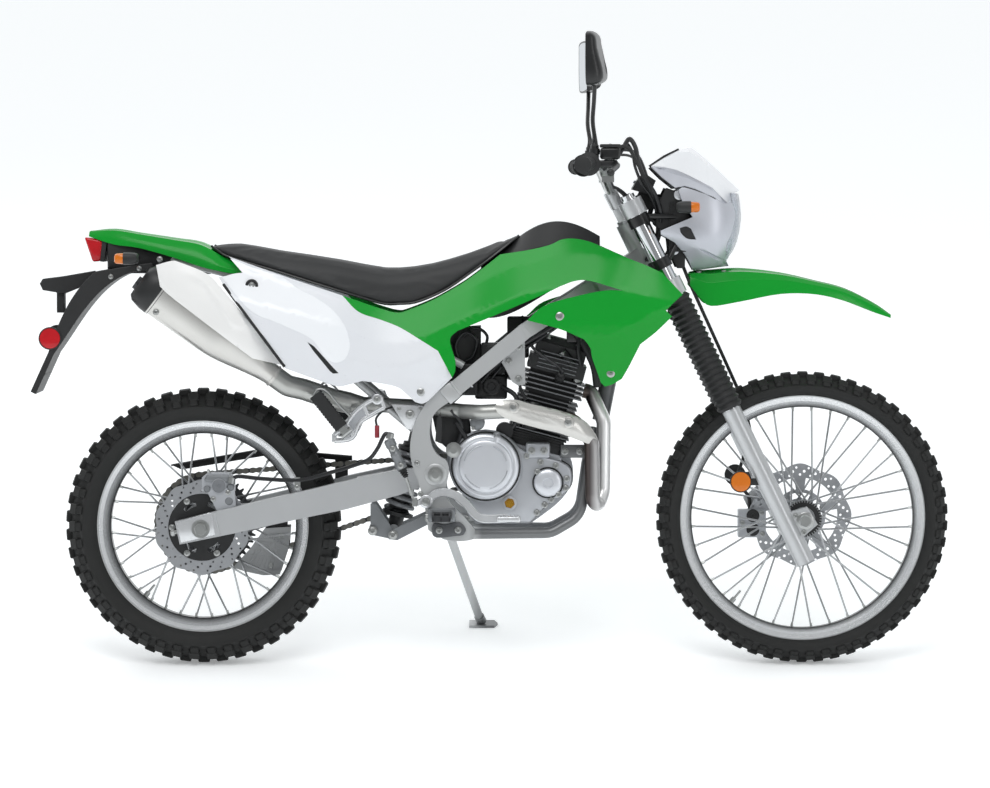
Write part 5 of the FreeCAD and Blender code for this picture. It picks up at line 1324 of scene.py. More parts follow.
def engine_covers():
    piece = Piece("engine_covers_cast", "chassis", "engine_covers")
    right = outline(RIGHT_COVER)
    piece.plate(PAINTED_CAST, right, -92, -52.3, 6.0, 3, 40)
    clutch = [(-90, 0), (-90, 76), (-106, 76), (-112, 74), (-115.6, 69), (-116.2, 64), (-115.4, 62), (-117.6, 60.5),
        (-119.6, 57), (-120.6, 44), (-121, 0)]
    piece.turned(COATED_CAST, clutch, (651, 0, 461), LEFT, 64)
    piece.add(loft([[Vector((651 + dx * w, y, 461 + dz * w)) for dx, dz in ring_line(1, 24)]
        for y, w in ((-92, 84), (-96, 84), (-101, 79))]), PAINTED_CAST)
    piece.bar(COATED_CAST, [(675, -100, 532), (675, -108, 526), (668.5, -112, 484)], [9, 10, 8], 16)
    filler = [(0, 0), (0, 11), (8, 11), (10, 8), (16, 8), (17, 0)]
    piece.turned(PAINTED_CAST, filler, (676, -104, 521), (0, 0.2, 1), 18)
    piece.boss(COATED_CAST, [(-90, 32), (-104, 32), (-109, 29.5), (-112, 24), (-112.6, 12), (-110, 10)],
        (793, 0, 423), LEFT, 40)
    piece.boss(PAINTED_CAST, [(-90, 16), (-96, 16), (-97, 14)], (705.5, 0, 376), LEFT, 28)
    piece.turned("gold_anodised_aluminium", [(-95, 0), (-95, 12), (-99, 12), (-99, 9.5), (-106, 9), (-107, 0)],
        (705.5, 0, 376), LEFT, 6)
    for start, end in ((100, 170), (195, 250), (285, 350), (20, 75)):
        arc = [Vector((651 + polar(50, a)[0], -121.2, 461 + polar(50, a)[1])) for a in range(start, end + 1, 5)]
        piece.bar(PAINTED_CAST, arc, 1.5, 8)
    # Black rings round the clutch cover and the small cover: painted shade for the dark groove at their edges.
    for x, y, z, r in ((651, -101.8, 461, 76.2), (793, -96.6, 423, 32.2)):
        piece.turned(BLACK_PAINT, [(y, r), (y, r + 3.6), (y + 5, r + 3.6), (y + 5, r)], (x, 0, z), LEFT, 48)
    seam = [Vector((x, -56, z)) for x, z in outline(RIGHT_COVER)]
    piece.bar(BLACK_PAINT, seam + seam[:1], 2.6, 8)
    heads = [((x, -92.5, z), RIGHT) for x, z in COVER_BOLTS]
    heads += [((793 + dx, -104, 423 + dz), RIGHT) for dx, dz in ((-24, 26), (24, -26))]
    piece.bolts(heads, 7.5, 6.0, 2.6)
    left = [(40.3, 0), (40.3, 78), (86, 78), (93, 76), (96, 70), (96.5, 62), (100, 60), (102, 55), (102.4, 0)]
    piece.turned(COATED_CAST, left, (735, 0, 420), LEFT, 64)
    piece.boss(PAINTED_CAST, [(100, 19), (105, 18), (105, 7), (103, 6)], (735, 0, 420), LEFT, 32)
    ring = [((735 + x, 94, 420 + z), LEFT) for x, z in [polar(71, 45 * k + 20) for k in range(8)]]
    piece.bolts(ring, 7, 6.0, 2.6)
    return piece.done()


def fins():
    """Bright machined edges round the black fins, the head's bolts, the plug and its lead."""
    piece = Piece("fin_edges", "chassis")
    cylinder_fins = [(30 + 10 * i, 70, 72, 3.5) for i in range(9)]
    head_fins = [(126 + 11 * i, 74, 76, 4.0) for i in range(4)]
    for s, wide, half, thick in cylinder_fins + head_fins:
        rim_line, inner = ([(u * wide * k, v * half * k) for u, v in CORNERS] for k in (1.006, 0.94))
        piece.add(sheet(rim_line, lambda u, v, depth: on_cylinder(s + 0.5 + depth, u, v), thick - 1.0, [inner]),
            "machined_fin_edge")
    heads = [(on_cylinder(236, x, y), CYL_UP) for x in (-46, 46) for y in (-50, 50)]
    for s in (178, 187, 196, 205, 214):
        line = [[on_cylinder(s + d, x, y) for x, y in ((-46, -77), (46, -77), (46, -72), (-46, -72))] for d in (0, 3)]
        piece.both(bevelled(loft(line), 0.8), "machined_fin_edge")
    piece.bolts(heads, 7.5, 6.0, 2.6)
    plug = on_cylinder(160, 12, -74)
    out = Vector((0.1, -0.93, 0.35)).normalized()
    piece.boss(RUBBER, [(-10, 9), (6, 9), (8, 11), (30, 11), (34, 8), (48, 7)], plug, out, 20)
    lead = [plug + out * 44, plug + out * 58 + Vector((-4, 4, 10)), Vector((760, -96, 730)), Vector((742, -70, 772)),
        Vector((735, -30, 800))]
    piece.hose(SHEATH, lead, 3.6, 10, 6)
    return piece.done(0.4)


def engine_bay():
    """Throttle linkage, breather and fuel hoses, starter, brackets and bolts round the engine."""
    piece = Piece("engine_bay_fittings", "chassis")
    piece.box(SMOOTH, (626, -58, 612), (700, -34, 668), 6, 3)
    piece.boss(BLACK_PAINT, [(-58, 21), (-62, 21), (-64, 17), (-68, 17), (-68, 9), (-72, 8)], (664, 0, 642), LEFT, 28)
    piece.hose(SHEATH, [(664, -66, 660), (690, -66, 690), (740, -60, 740), (800, -40, 800), (850, -26, 850)], 3.2, 8)
    piece.hose(RUBBER, [(826, -60, 722), (842, -66, 700), (856, -64, 672), (862, -58, 648)], 11.0, 14)
    for x, z, d in ((827, 716, (0.4, 0, -0.9)), (861, 655, (0.2, 0, -1))):
        piece.turned(ZINC, [(-4, 10), (-4, 12.4), (4, 12.4), (4, 10)], (x, -61, z), d, 20)
    piece.box(PAINTED_CAST, (742, -96, 478), (798, -52, 514), 6, 3)
    piece.boss(BLACK_PAINT, [(0, 19), (56, 19), (62, 15)], (752, -60, 545), (0.15, 0, 1), 28)
    piece.plate(SILVER_FRAME, [(822, 508), (880, 508), (908, 494), (908, 478), (822, 478)], -70, -60, 2, 2)
    heads = on_sides(100, (727, 734.5), (703, 701.5), (726, 660.5))
    heads += facing(RIGHT, (832, -70, 493), (866, -70, 493), (756, -96, 496), (784, -96, 496))
    piece.bolts(heads, 8.5, 7.0, 3.2)
    nut = lathe([(-2, 0), (-2, 18), (2, 18), (2.6, 13), (11, 13), (12, 8), (15, 8), (15, 0)], (0, 0, 0), UP, 12)
    piece.add(spots(nut, ZINC, on_sides(136, (537, 444)) + on_sides(131, (578, 500))), ZINC)
    small = on_sides(50, (391, 309)) + on_sides(58, (438, 300), (522, 338))
    piece.bolts(small, 11, 8.0, 4.0)
    return piece.done()


# Fenders: shells over sections from the edge up over a crease to the middle.

FRONT_FENDER = [(1118, 66, 872, 900), (1140, 71, 846, 903.5), (1165, 74, 826, 905), (1233, 72, 836, 909),
    (1325, 66, 853, 899), (1405, 58, 852, 881), (1474, 48, 836, 863), (1542, 34, 810, 829), (1580, 20, 797, 803)]
REAR_FENDER = [(-258, 34, 984, 994), (-200, 52, 966, 999), (-141, 66, 958, 990), (-60, 82, 936, 978),
    (0, 90, 916, 968), (50, 92, 904, 940), (100, 92, 896, 918)]


def fender(name, body, rows, node, crease, ridge):
    """crease is the crease's height as a share of the section, ridge how far the middle stands up."""
    piece = Piece(name, body, node)
    lines = [flow([(row[0], row[k], 0) for row in rows], 4) for k in (1, 2, 3)]
    net_rows = []
    for half_p, low_p, high_p in zip(*lines):
        x, half, low, high = half_p.x, half_p.y, low_p.y, high_p.y
        drop = high - low
        side = [(half, low), (half * 0.985, low + drop * 0.3), (half * 0.93, low + drop * crease),
            (half * 0.78, high - drop * 0.1), (half * 0.42, high - drop * 0.05 - ridge * 0.4),
            (half * 0.3, high - ridge * 0.1), (0, high)]
        net_rows.append([(x, -y, z) for y, z in side] + [(x, y, z) for y, z in reversed(side[:-1])])
    piece.add(shell([list(reversed(r)) for r in net_rows], 3.0), "green_moulded_polypropylene")
    return piece


def fenders():
    front = fender("front_fender_moulded", "fork", FRONT_FENDER, "front_fender", 0.66, 3.0)
    bolts = facing(UP, *[(x, y, z) for x, z in ((1140, 900), (1196, 902)) for y in (-34, 34)])
    front.bolts(bolts, 8, 5, 3)
    front.done(0.6, 22)
    fender("rear_fender_moulded", "chassis", REAR_FENDER, "rear_fender", 0.55, 3.0).done(0.6, 22)


# Handlebar and all on it.

def bar_end(side, t):
    p, q = Vector((892, side * 200, 1150)), Vector((866, side * 405, 1146))
    return p + (q - p).normalized() * t


def along_bar(profile, side, steps=28):
    return lathe(profile, bar_end(side, 0), bar_end(side, 1) - bar_end(side, 0), steps)


def grips():
    piece = Piece("grips_ribbed", "fork", "grips")
    profile = [(84, 11.5), (84, 25), (86, 26.5), (88.5, 26.5), (91, 21), (93, 16.4)]
    for k in range(13):
        t = 98 + 8 * k
        profile += [(t, 16.2), (t + 1, 15.0), (t + 3, 15.0), (t + 4, 16.2)]
    profile += [(206, 16.2), (209, 19), (214, 19), (215, 17), (215, 0), (207, 0), (207, 11.5)]
    for side in (-1, 1):
        piece.add(along_bar(profile, side), RUBBER)
    return piece.done()


def hand_controls():
    piece = Piece("hand_controls_detailed", "fork", "hand_controls")
    for side in (-1, 1):
        seat_at = bar_end(side, 36)

        def at(x, y, z):
            return seat_at + Vector((x, side * y, z))
        piece.add(along_bar([(22, 11.5), (22, 16), (24, 18), (48, 18), (50, 16), (50, 11.5)], side), BLACK_PAINT)
        piece.add(along_bar([(50.4, 11.5), (50.4, 18), (53, 20.5), (64, 20.5), (65, 19.4), (66, 20.5), (78, 20.5),
            (81, 17.5), (81, 11.5)], side), GRAINED)
        piece.box(BLACK_PAINT, at(10, -13, -8), at(60, 13, 8), 4, 3)
        lever = flow([at(52, 2, 0), at(58, 40, -4), at(50, 90, -12), at(41, 152, -19)], 6)
        piece.bar(BLACK_PAINT, lever, [7.0 - 2.0 * k / (len(lever) - 1) for k in range(len(lever))], 14)
        ball = [(-9, 0), (-7, 5.6), (-4, 8), (0, 9), (4, 8), (7, 5.6), (9, 0)]
        piece.turned(BLACK_PAINT, ball, at(40, 160, -20), UP, 18)
        piece.boss(ZINC, [(-14, 5), (12, 5)], at(53, 0, 0), UP, 14)
        piece.boss(BLACK_PAINT, [(0, 10), (14, 10), (16, 12), (28, 12), (28, 6), (34, 6)], at(8, 0, 6), UP, 18)
        pinch = [(at(-14, -3, 8), (-1, 0, 0)), (at(-14, -3, -8), (-1, 0, 0))]
        piece.bolts(pinch, 4, 4, 1.8)
        if side < 0:
            piece.box(SMOOTH, at(21, -28, 10), at(65, 20, 36), 5, 3)
            piece.box(GRAINED, at(20, -29.5, 36.4), at(66, 21.5, 44), 2, 2)
            piece.bolts([(at(43, -24, 43.6), UP), (at(43, 16, 43.6), UP)], 3.5, 1.6, 1.6)
            piece.boss("mirror_glass", [(-2, 8), (1.2, 8), (1.2, 5), (0.4, 4)], at(21, -4, 22), (-1, 0, 0), 20)
            kill = bar_end(side, 66)
            piece.box("red_acrylic", kill + Vector((-25, -6, -6)), kill + Vector((-19, 6, 6)), 1.5, 2)
        else:
            piece.boss(BLACK_PAINT, [(0, 6), (10, 6), (11, 8), (16, 8), (17, 5), (30, 4)], at(40, -12, 2),
                (0.3, -side, 0), 16)
            for t, z in ((58, 8), (66, -4), (74, 6)):
                key = bar_end(side, t) + Vector((-18, 0, z))
                piece.box("grey_moulded_plastic", key + Vector((-7, -4, -3)), key + Vector((0, 4, 3)), 1.2, 2)
    return piece.done(0.5)


def mirrors():
    piece = Piece("mirrors_glazed", "fork", "mirrors")
    corners = [(-52, -46), (-44, -58), (30, -62), (56, -46), (60, 34), (50, 58), (-34, 60), (-54, 40)]
    for side in (-1, 1):
        shape = [(p.x, p.y) for p in flow([(a, b, 0) for a, b in corners], 5, True)]

        head = Matrix.Translation((896, side * 322, 1382)) @ Matrix.Rotation(side * math.radians(9), 4, "Z")

        def ring(x, k):
            deep = [x if x < 6 else 5 + (x - 5) * (0.62 + 0.5 * smoothstep(0.5 - b / 110)) for a, b in shape]
            return [head @ Vector((dx - 16, side * (a - 2) * k, b * k)) for dx, (a, b) in zip(deep, shape)]
        piece.add(loft([ring(2.5, 0.92), ring(0.4, 0.93), ring(0, 0.97), ring(1, 0.99), ring(12, 0.98),
            ring(22, 0.93), ring(29, 0.86), ring(33, 0.76), ring(34, 0.66)]), SMOOTH)
        glass = [(a * 0.925, b * 0.925) for a, b in shape]
        pane = sheet(glass, lambda a, b, depth: (-15.6 + depth, side * (a - 2), b), 1.8, (), (), 20.0)
        piece.add(moved(pane, head), "mirror_glass")
        foot = bar_end(side, 36) + Vector((8, 0, 34))
        line = flow([foot, foot + Vector((0, side * 2, 24)), foot + Vector((-5, side * 28, 62)),
            foot + Vector((-3, side * 62, 104)), (894, side * 322, 1332)], 6)
        radii = [8.5 - 3.6 * smoothstep(k / 8) for k in range(len(line))]
        piece.bar(SMOOTH, line, radii, 14)
        piece.turned(SMOOTH, [(-12, 0), (-10, 9), (0, 11), (10, 9), (12, 0)], (896, side * 322, 1332), UP, 18)
        piece.add(spots(lathe([(-1, 0), (-1, 10), (7, 10), (9, 8), (9, 0)], (0, 0, 0), UP, 6), ZINC, [(foot, UP)]),
            BLACK_PAINT)
    return piece.done(0.4)


def cables():
    """Brake hoses, clutch and throttle cables and the loom, all from the bar down behind the lamp."""
    piece = Piece("cables_and_loom", "fork")
    loop = [(924, -188, 1146), (948, -170, 1166), (963, -152, 1188), (977, -138, 1206), (991, -124, 1186),
        (998, -112, 1152), (1015, -100, 1112), (1035, -90, 1083), (1049, -84, 1040), (1046, -60, 985),
        (1020, -30, 930)]
    piece.hose(SHEATH, loop, 5.4, 12, 6)
    piece.hose(SHEATH, [(p[0] - 7, p[1] + 10, p[2] - 10) for p in loop], 3.4, 10, 6)
    left = [(924, 208, 1152), (958, 180, 1182), (1000, 140, 1176), (1024, 96, 1122), (1034, 70, 1060),
        (1010, 40, 980)]
    piece.hose(SHEATH, left, 4.0, 10, 6)
    piece.hose(SHEATH, [(p[0] - 4, p[1] - 14, p[2] - 12) for p in left], 3.2, 10, 6)
    for side in (-1, 1):
        low = [(930, side * 96, 1102), (958, side * 84, 1090), (990, side * 70, 1060), (1030, side * 60, 1024),
            (1066, side * 50, 1000)]
        piece.hose(SHEATH, low, 3.6, 10, 6)
        plate = [(1037, 1012), (1046, 1062), (1062, 1096), (1096, 1084), (1112, 1062), (1110, 1038), (1120, 1026),
            (1050, 1000)]
        piece.plate(GRAINED, plate, side * 78 - 2, side * 78 + 2, 1, 1)
        piece.plate(GRAINED, [(1066, 985), (1108, 985), (1106, 912), (1088, 912), (1070, 950)], side * 66 - 2,
            side * 66 + 2, 1, 1)
        for x, z, r, y in ((1092, 1080, 12, 86), (1082, 952, 9, 78)):
            piece.boss(COATED_CAST, [(-8, r * 0.6), (-1, r * 0.6), (-1, r), (2, r), (3, r * 0.8)], (x, side * y, z),
                (0, side, 0), 20)
        piece.box(GRAINED, (1046, side * 10, 996), (1082, side * 58, 1066), 5, 2)
    for k in range(5):
        y = -40 + 20 * k
        line = [(1070, y, 1050), (1046, y * 0.8, 1062 + 4 * k), (1024, y * 0.5, 1030 - 6 * k), (1012, y * 0.4, 975)]
        piece.hose(SHEATH, line, 3.2, 8)
    return piece.done()


def pill(x, y, z, half):
    """A rounded box outline at x, for the lamps: half is its (y, z) half size."""
    points = []
    for k in range(24):
        a = 2 * math.pi * k / 24
        c, n = math.cos(a), math.sin(a)
        points.append((x, y + half[0] * math.copysign(abs(c) ** 0.5, c),
            z + half[1] * math.copysign(abs(n) ** 0.5, n)))
    return points


SIGNALS = (("front_turn_signals", "fork", 1098, 1052, 84.3, 1, ("front_signals", "front_lamps")),
    ("rear_turn_signals", "chassis", -150, 936, 44.3, -1, ("rear_signals", "rear_lamps")))


def signals():
    """Turn signals: a rubber stem, a tapered black housing and an amber lens."""
    for name, body, x, z, inner, way, nodes in SIGNALS:
        piece = Piece(name, body, *nodes)
        for side in (-1, 1):
            y = side * 177
            steps = ((-16, 22, 8), (-14, 28, 11), (-6, 31.5, 13), (6, 33, 14), (15.6, 33, 14))
            piece.add(loft([pill(x + way * dx, y, z, (a, b)) for dx, a, b in steps]), GRAINED)
            glow = ((14, 31, 12.2), (17, 31.5, 12.6), (30, 30.5, 12), (34, 28.5, 10.5), (35.8, 24, 8))
            piece.add(loft([pill(x + way * dx, y, z, (a, b)) for dx, a, b in glow]), "amber_acrylic")
            stem = [(inner, 9), (inner + 6, 9), (inner + 8, 6.5), (120, 5.5), (136, 7), (150, 9), (150, 0),
                (inner, 0)]
            piece.turned(RUBBER, [(side * a, r) for a, r in stem], (x, 0, z), LEFT, 16)
        piece.done(0.5)


def reflector(piece, at, side, rim, pane, step, tone):
    """A round reflector: three radii of its black rim, three of its domed pane, the rim's inner step."""
    domes = (6.6, 7.4, 7.8) if tone == "red_acrylic" else (6.4, 7.2, 7.6)
    piece.boss(GRAINED, [(0, rim[0]), (5, rim[0]), (6, rim[1]), (step, rim[2])], at, (0, side, 0), 40)
    piece.turned(tone, [(5, 0), (5, pane[0]), (domes[0], pane[1]), (domes[1], pane[2]), (domes[2], 0)], at,
        (0, side, 0), 40)


def tail_and_plate():
    lamp = Piece("tail_lamp_lensed", "chassis", "tail_lamp")
    lamp.plate("red_acrylic", [(-269, 983), (-226, 975), (-231, 928), (-250, 926)], -42, 42, 5, 3, 20)
    lamp.plate(GRAINED, [(-228, 976), (-216, 974), (-223, 926), (-233, 927)], -43, 43, 1, 1, 20)
    lamp.done()
    piece = Piece("reflectors_and_bolts", "chassis")
    for side in (-1, 1):
        reflector(piece, (-344.6, side * 76, 752), side, (26, 24.5, 23.5), (23.4, 22.8, 20), 5.4, "red_acrylic")
    bolts = [((-180, y, 985.8), UP) for y in (-14, 14)]
    bolts += on_sides(78, (-140, 912), (-205, 893))
    piece.bolts(bolts, 6, 4, 2.5)
    piece.done()
    front = Piece("fork_reflectors", "fork")
    for side in (-1, 1):
        reflector(front, (1232.3, side * 112, 426.5), side, (24.8, 23, 22.4), (22.3, 21.6, 18), 5.2, "amber_acrylic")
        front.box(BLACK_PAINT, (1226, side * 107, 418), (1292, side * 111, 434), 1, 1)
    front.done()


# Chain, spring and the parts round the swingarm.

def strap(path, wide, thick):
    """A flat bar with its corners cut, along a path: wide across it, thick along y."""
    path = [Vector(p) for p in path]
    sections = []
    for k, p in enumerate(path):
        run = (path[min(k + 1, len(path) - 1)] - path[max(k - 1, 0)]).normalized()
        across = run.cross(Vector(LEFT)).normalized()
        w, h = wide / 2, thick / 2
        c = min(w, h) * 0.45
        corners = [(-w, c - h), (c - w, -h), (w - c, -h), (w, c - h), (w, h - c), (w - c, h), (c - w, h), (-w, h - c)]
        sections.append([p + across * u + Vector((0, v, 0)) for u, v in corners])
    return loft(sections)


def chain_corners():
    back, front = REAR_SPROCKET, FRONT_SPROCKET
    tilt = math.atan2(front[1] - back[1], front[0] - back[0])
    open_by = math.asin((back[2] - front[2]) / math.hypot(front[0] - back[0], front[1] - back[1]))
    corners = []
    for (x, z, r), start, sweep, steps in ((front, math.pi / 2 - open_by, 2 * open_by - math.pi, 16),
            (back, open_by - math.pi / 2, -2 * open_by - math.pi, 48)):
        for k in range(steps + 1):
            a = tilt + start + sweep * k / steps
            corners.append(Vector((x + r * math.cos(a), CHAIN_Y, z + r * math.sin(a))))
    return corners


def even_steps(corners, pitch):
    """Points at even steps along a closed line, as near the pitch as an even count allows."""
    lengths = [(corners[(k + 1) % len(corners)] - p).length for k, p in enumerate(corners)]
    count = 2 * round(sum(lengths) / pitch / 2)
    step, places, k, walked = sum(lengths) / count, [], 0, 0.0
    for n in range(count):
        while walked + lengths[k] < n * step:
            walked += lengths[k]
            k += 1
        p, q = corners[k], corners[(k + 1) % len(corners)]
        places.append(p.lerp(q, (n * step - walked) / lengths[k]))
    return places


def link(y_in, y_out, pin_y, pin_r):
    """Two waisted side plates and the rollers or pins at their ends."""
    edge = []
    for end in (1, -1):
        for a in (-100, -60, -20, 20, 60, 100):
            edge.append((end * (CHAIN_PITCH / 2 + 6.4 * math.cos(math.radians(a))),
                end * 6.4 * math.sin(math.radians(a))))
        edge.append((0, end * 4.4))
    pins = [lathe([(-pin_y, 0), (-pin_y, pin_r), (pin_y, pin_r), (pin_y, 0)], (x, 0, 0), LEFT, 8)
        for x in (-CHAIN_PITCH / 2, CHAIN_PITCH / 2)]
    return joined([prism(edge, y_in, y_out), prism(edge, -y_out, -y_in), *pins])


def chain():
    piece = Piece("chain_links", "chassis", "chain")
    places = even_steps(chain_corners(), CHAIN_PITCH)
    halves = ([], []), ([], [])
    for k, p in enumerate(places):
        q = places[(k + 1) % len(places)]
        run = q - p
        halves[k % 2][0].append((p + q) / 2)
        halves[k % 2][1].append(Quaternion(LEFT, math.atan2(-run.z, run.x)))
    inner, outer = link(3.3, 4.9, 3.3, 5.0), link(5.0, 6.6, 7.4, 2.4)
    for (points, turns), unit, tone in zip(halves, (inner, outer), ("dark_steel", "oiled_steel")):
        piece.add(grow(SPOT_ROW, unit, tone, points, turns=turns), tone)
    return piece.done(angle=50)


def spring_and_damper():
    piece = Piece("spring_and_damper", "chassis", "shock")
    low = Vector((438, 0, 307.5))
    up = (Vector((500, 0, 560)) - low).normalized()
    beside = up.cross(Vector(LEFT))
    damper = [(0, 0), (0, 15), (4, 17), (33, 17), (35, 36), (43, 36), (45, 27), (52, 21), (60, 24.5), (178, 24.5),
        (186, 30), (188, 36), (196, 36), (198, 26), (206, 26), (208, 17), (245, 17), (245, 0)]
    piece.turned(BLACK_PAINT, damper, low, up, 32)
    coil = []
    for k in range(8 * 18 + 1):
        a = math.tau * k / 18
        coil.append(low + up * (49 + 133 * k / 144) + (beside * math.cos(a) + Vector((0, math.sin(a), 0))) * 30)
    piece.bar("grey_spring_lacquer", coil, 5.5, 8)
    for end in (low + up * 2, low + up * 242):
        piece.boss("satin_aluminium", [(-21, 12), (21, 12)], end, LEFT, 20)
    return piece.done()


def swingarm_ends():
    """Sliding blocks and nuts of the rear axle, weld beads, the chain guide's ribs and the brake hose."""
    piece = Piece("swingarm_ends_and_guide", "chassis")
    lug_edge = [(-55, 333), (-45, 286), (33, 304), (26, 352), (20, 355)]
    for side in (-1, 1):
        wall = [side * 103.6, side * 106.4]
        piece.plate(ALLOY, lug_edge, min(wall), max(wall), 1.0, 2)
        piece.boss(ZINC, [(-1, 21), (1.5, 21), (1.5, 16), (3, 16)], (0, side * 106.4, REAR_R), (0, side, 0), 28)
        piece.boss(ZINC, [(2, 15.5), (11, 15.5), (13, 13.5), (13, 9), (16, 9)], (0, side * 106.4, REAR_R),
            (0, side, 0), 6)
        piece.bar(ZINC, [(-70, side * 90, 306), (-50, side * 90, 311)], 5)
        piece.boss(ZINC, [(0, 9.5), (7, 9.5)], (-61, side * 90, 308.5), (-1, 0, -0.2), 6)
        bead = [Vector((31 + 2.2 * k * 0.25, side * 104.4, 357 - 2.2 * k)) for k in range(24)]
        piece.bar("satin_aluminium", bead, [1.4 + 0.5 * (k % 2) for k in range(24)], 6)
    guard = [(64, 216), (104, 260), (138, 307), (199, 311), (194, 267), (173, 200), (134, 198), (92, 207)]
    inset = [(84, 222), (112, 255), (143, 294), (187, 297), (182, 268), (166, 211), (136, 209), (100, 215)]
    piece.plate(NYLON, guard, 41.4, 43.8, 0.6)
    piece.add(sheet(guard, lambda x, z, depth: (x, 41.4 - depth, z), 2.2, [inset]), NYLON)
    ribs = ((7, 0.14, 0.12, ((84, 41, 222), (166, 41, 211)), ((112, 41, 255), (187, 41, 297))),
        (5, 0.12, 0.19, ((100, 41, 240), (140, 41, 292)), ((172, 41, 228), (184, 41, 290))))
    for count, first, step, low, high in ribs:
        for share in (first + step * k for k in range(count)):
            piece.bar(NYLON, [partway(*low, share), partway(*high, share)], 1.4, 6)
    piece.bolts(facing(RIGHT, (152, 43, 222), (176, 43, 290), (165, 73, 318)), 7.0, 6.0)
    hose = [(70, -88, 428), (86, -92, 437), (140, -96, 432), (228, -104, 429.5), (300, -108, 448), (345, -116, 462),
        (384, -128, 478), (404, -140, 502), (416, -146, 526), (424, -146, 538), (434, -146, 534)]
    piece.hose(SHEATH, hose, 4.6)
    piece.box(ZINC, (214, -106, 408), (228, -100, 436), 1.5)
    piece.bolts([((220.6, -105, 413.5), RIGHT)], 6.5, 5.0)
    for x, z in ((70, 428), (434, 533)):
        piece.boss(ZINC, [(-7, 8.5), (6, 8.5), (8, 5)], (x, -90 if x < 100 else -146, z), (0.2, 0, 1), 16)
    piece.bolts(facing(RIGHT, (28, -89, 385), (62, -89, 400), (66, -85, 432), (16, -85, 430)), 6.5, 5.0)
    piece.boss("grey_moulded_plastic", [(-1, 15.5), (2, 15.5), (3.4, 13), (3.4, 4), (2.4, 3)], (41, -92, REAR_R + 97),
        RIGHT, 28)
    piece.plate(SAND_CAST, [(6, 428), (14, 440), (62, 440), (72, 430), (66, 424), (12, 424)], -91, -60, 3, 2)
    for x, z, r in ((14, 408, 8), (68, 412, 8.5), (64, 380, 9)):
        piece.boss(SAND_CAST, [(0, r), (6, r), (8, r - 2)], (x, -84, z), RIGHT, 20)
    piece.bar(ZINC, [(20, -80, 440), (16, -84, 452)], [4.5, 3.0])
    return piece.done()


def brake_pedal():
    """Cast pedal with a cleated toe, the pump it works and the shift pedal on the left."""
    piece = Piece("brake_pedal_and_pump", "chassis", "foot_controls")
    arm = flow([(515, -137, 383), (536, -137, 400), (558, -137, 404), (584, -137, 396), (606, -139, 378),
        (628, -144, 353), (648, -150, 345), (700, -152, 346)], 4)
    piece.add(strap(arm, 19, 9), ALLOY)
    piece.boss(ALLOY, [(0, 15), (12, 15), (13, 13)], (515, -131, 383), RIGHT, 28)
    piece.bolts([((515, -144, 383), RIGHT)], 9.5, 5.0)
    piece.box(ALLOY, (676, -178, 339), (730, -148, 351), 3.0, 3)
    for k in range(6):
        piece.box(ALLOY, (680 + 8.4 * k, -177, 350), (683.5 + 8.4 * k, -149, 354), 0.9)
    piece.add(strap([(484, -141, 377), (515, -141, 383)], 12, 6), ALLOY)
    low, high = Vector((470, -146, 440)), Vector((432, -146, 522))
    down = (low - high).normalized()
    piece.turned(SAND_CAST, [(-4, 0), (-4, 9), (0, 12.5), (14, 12.5), (16, 10.5), (30, 10.5), (32, 12), (40, 12),
        (42, 10.5), (58, 10.5), (60, 12.5), (70, 12.5), (72, 0)], high, down, 28)
    boot = [(70, 0), (70, 11)]
    for k in range(4):
        boot += [(73 + 5 * k, 10.5 - k), (75.5 + 5 * k, 7.5 - k)]
    piece.turned(RUBBER, boot + [(92, 5), (92, 0)], high, down, 24)
    piece.bar(ZINC, [low, (490, -142, 378)], 3.2)
    piece.box(ZINC, (484, -148, 372), (496, -136, 392), 1.5)
    piece.boss(ZINC, [(-6, 6), (6, 6)], (482, -144, 404), (0.33, 0, -1), 6)
    piece.bolts(facing(RIGHT, (440, -158, 505), (458, -158, 466)), 7.5, 5.0)
    piece.bar("red_moulded_plastic", [(404, -132, 556), (404, -132, 528)], 5.5, 12)
    piece.hose(SHEATH, [(404, -132, 552), (402, -128, 572), (420, -116, 590), (450, -108, 600)], 2.6, 8, 4)
    piece.bar(ZINC, [(640, 40.3, 372), (640, 132, 372)], 6, 14)
    piece.add(strap([(636, 137, 374), (680, 139, 362), (735, 143, 349)], 13, 8), ALLOY)
    piece.boss(RUBBER, [(0, 8), (2, 9), (44, 9), (46, 8)], (735, 130, 348), LEFT, 18)
    return piece.done(angle=40)


def rider_pegs():
    """Cleated steel pegs: three toothed rails on cross bars, a clevis at the foot."""
    teeth = [(158, 344), (236, 344)]
    for k in range(10):
        y = 236 - 7.8 * k
        teeth += [(y, 354), (y - 1.8, 360), (y - 4.6, 360), (y - 6.2, 354)]
    for side, body in ((1, "rider_peg_left"), (-1, "rider_peg_right")):
        piece = Piece(body + "_cleated", body, body)
        rails = []
        for x0, x1 in ((530, 534.5), (549, 553), (567.5, 572)):
            verts, faces = prism(teeth, x0, x1)
            rails.append(([Vector((v[1], v[0], v[2])) for v in verts], faces))
        for y in (159, 178, 206, 229):
            rails.append(block((531, y, 344), (571, y + 5, 352)))
        rails.append(block((531, 233, 344), (571, 236, 358)))
        rails.append(lathe([(530, 0), (530, 8), (572, 8), (572, 0)], (0, 152, 352), AHEAD, 20))
        rails.append(block((532, 152, 346), (570, 162, 358)))
        whole = joined(rails)
        piece.add(whole if side > 0 else mirrored(whole), "dark_steel")
        piece.done(0.6, 40)


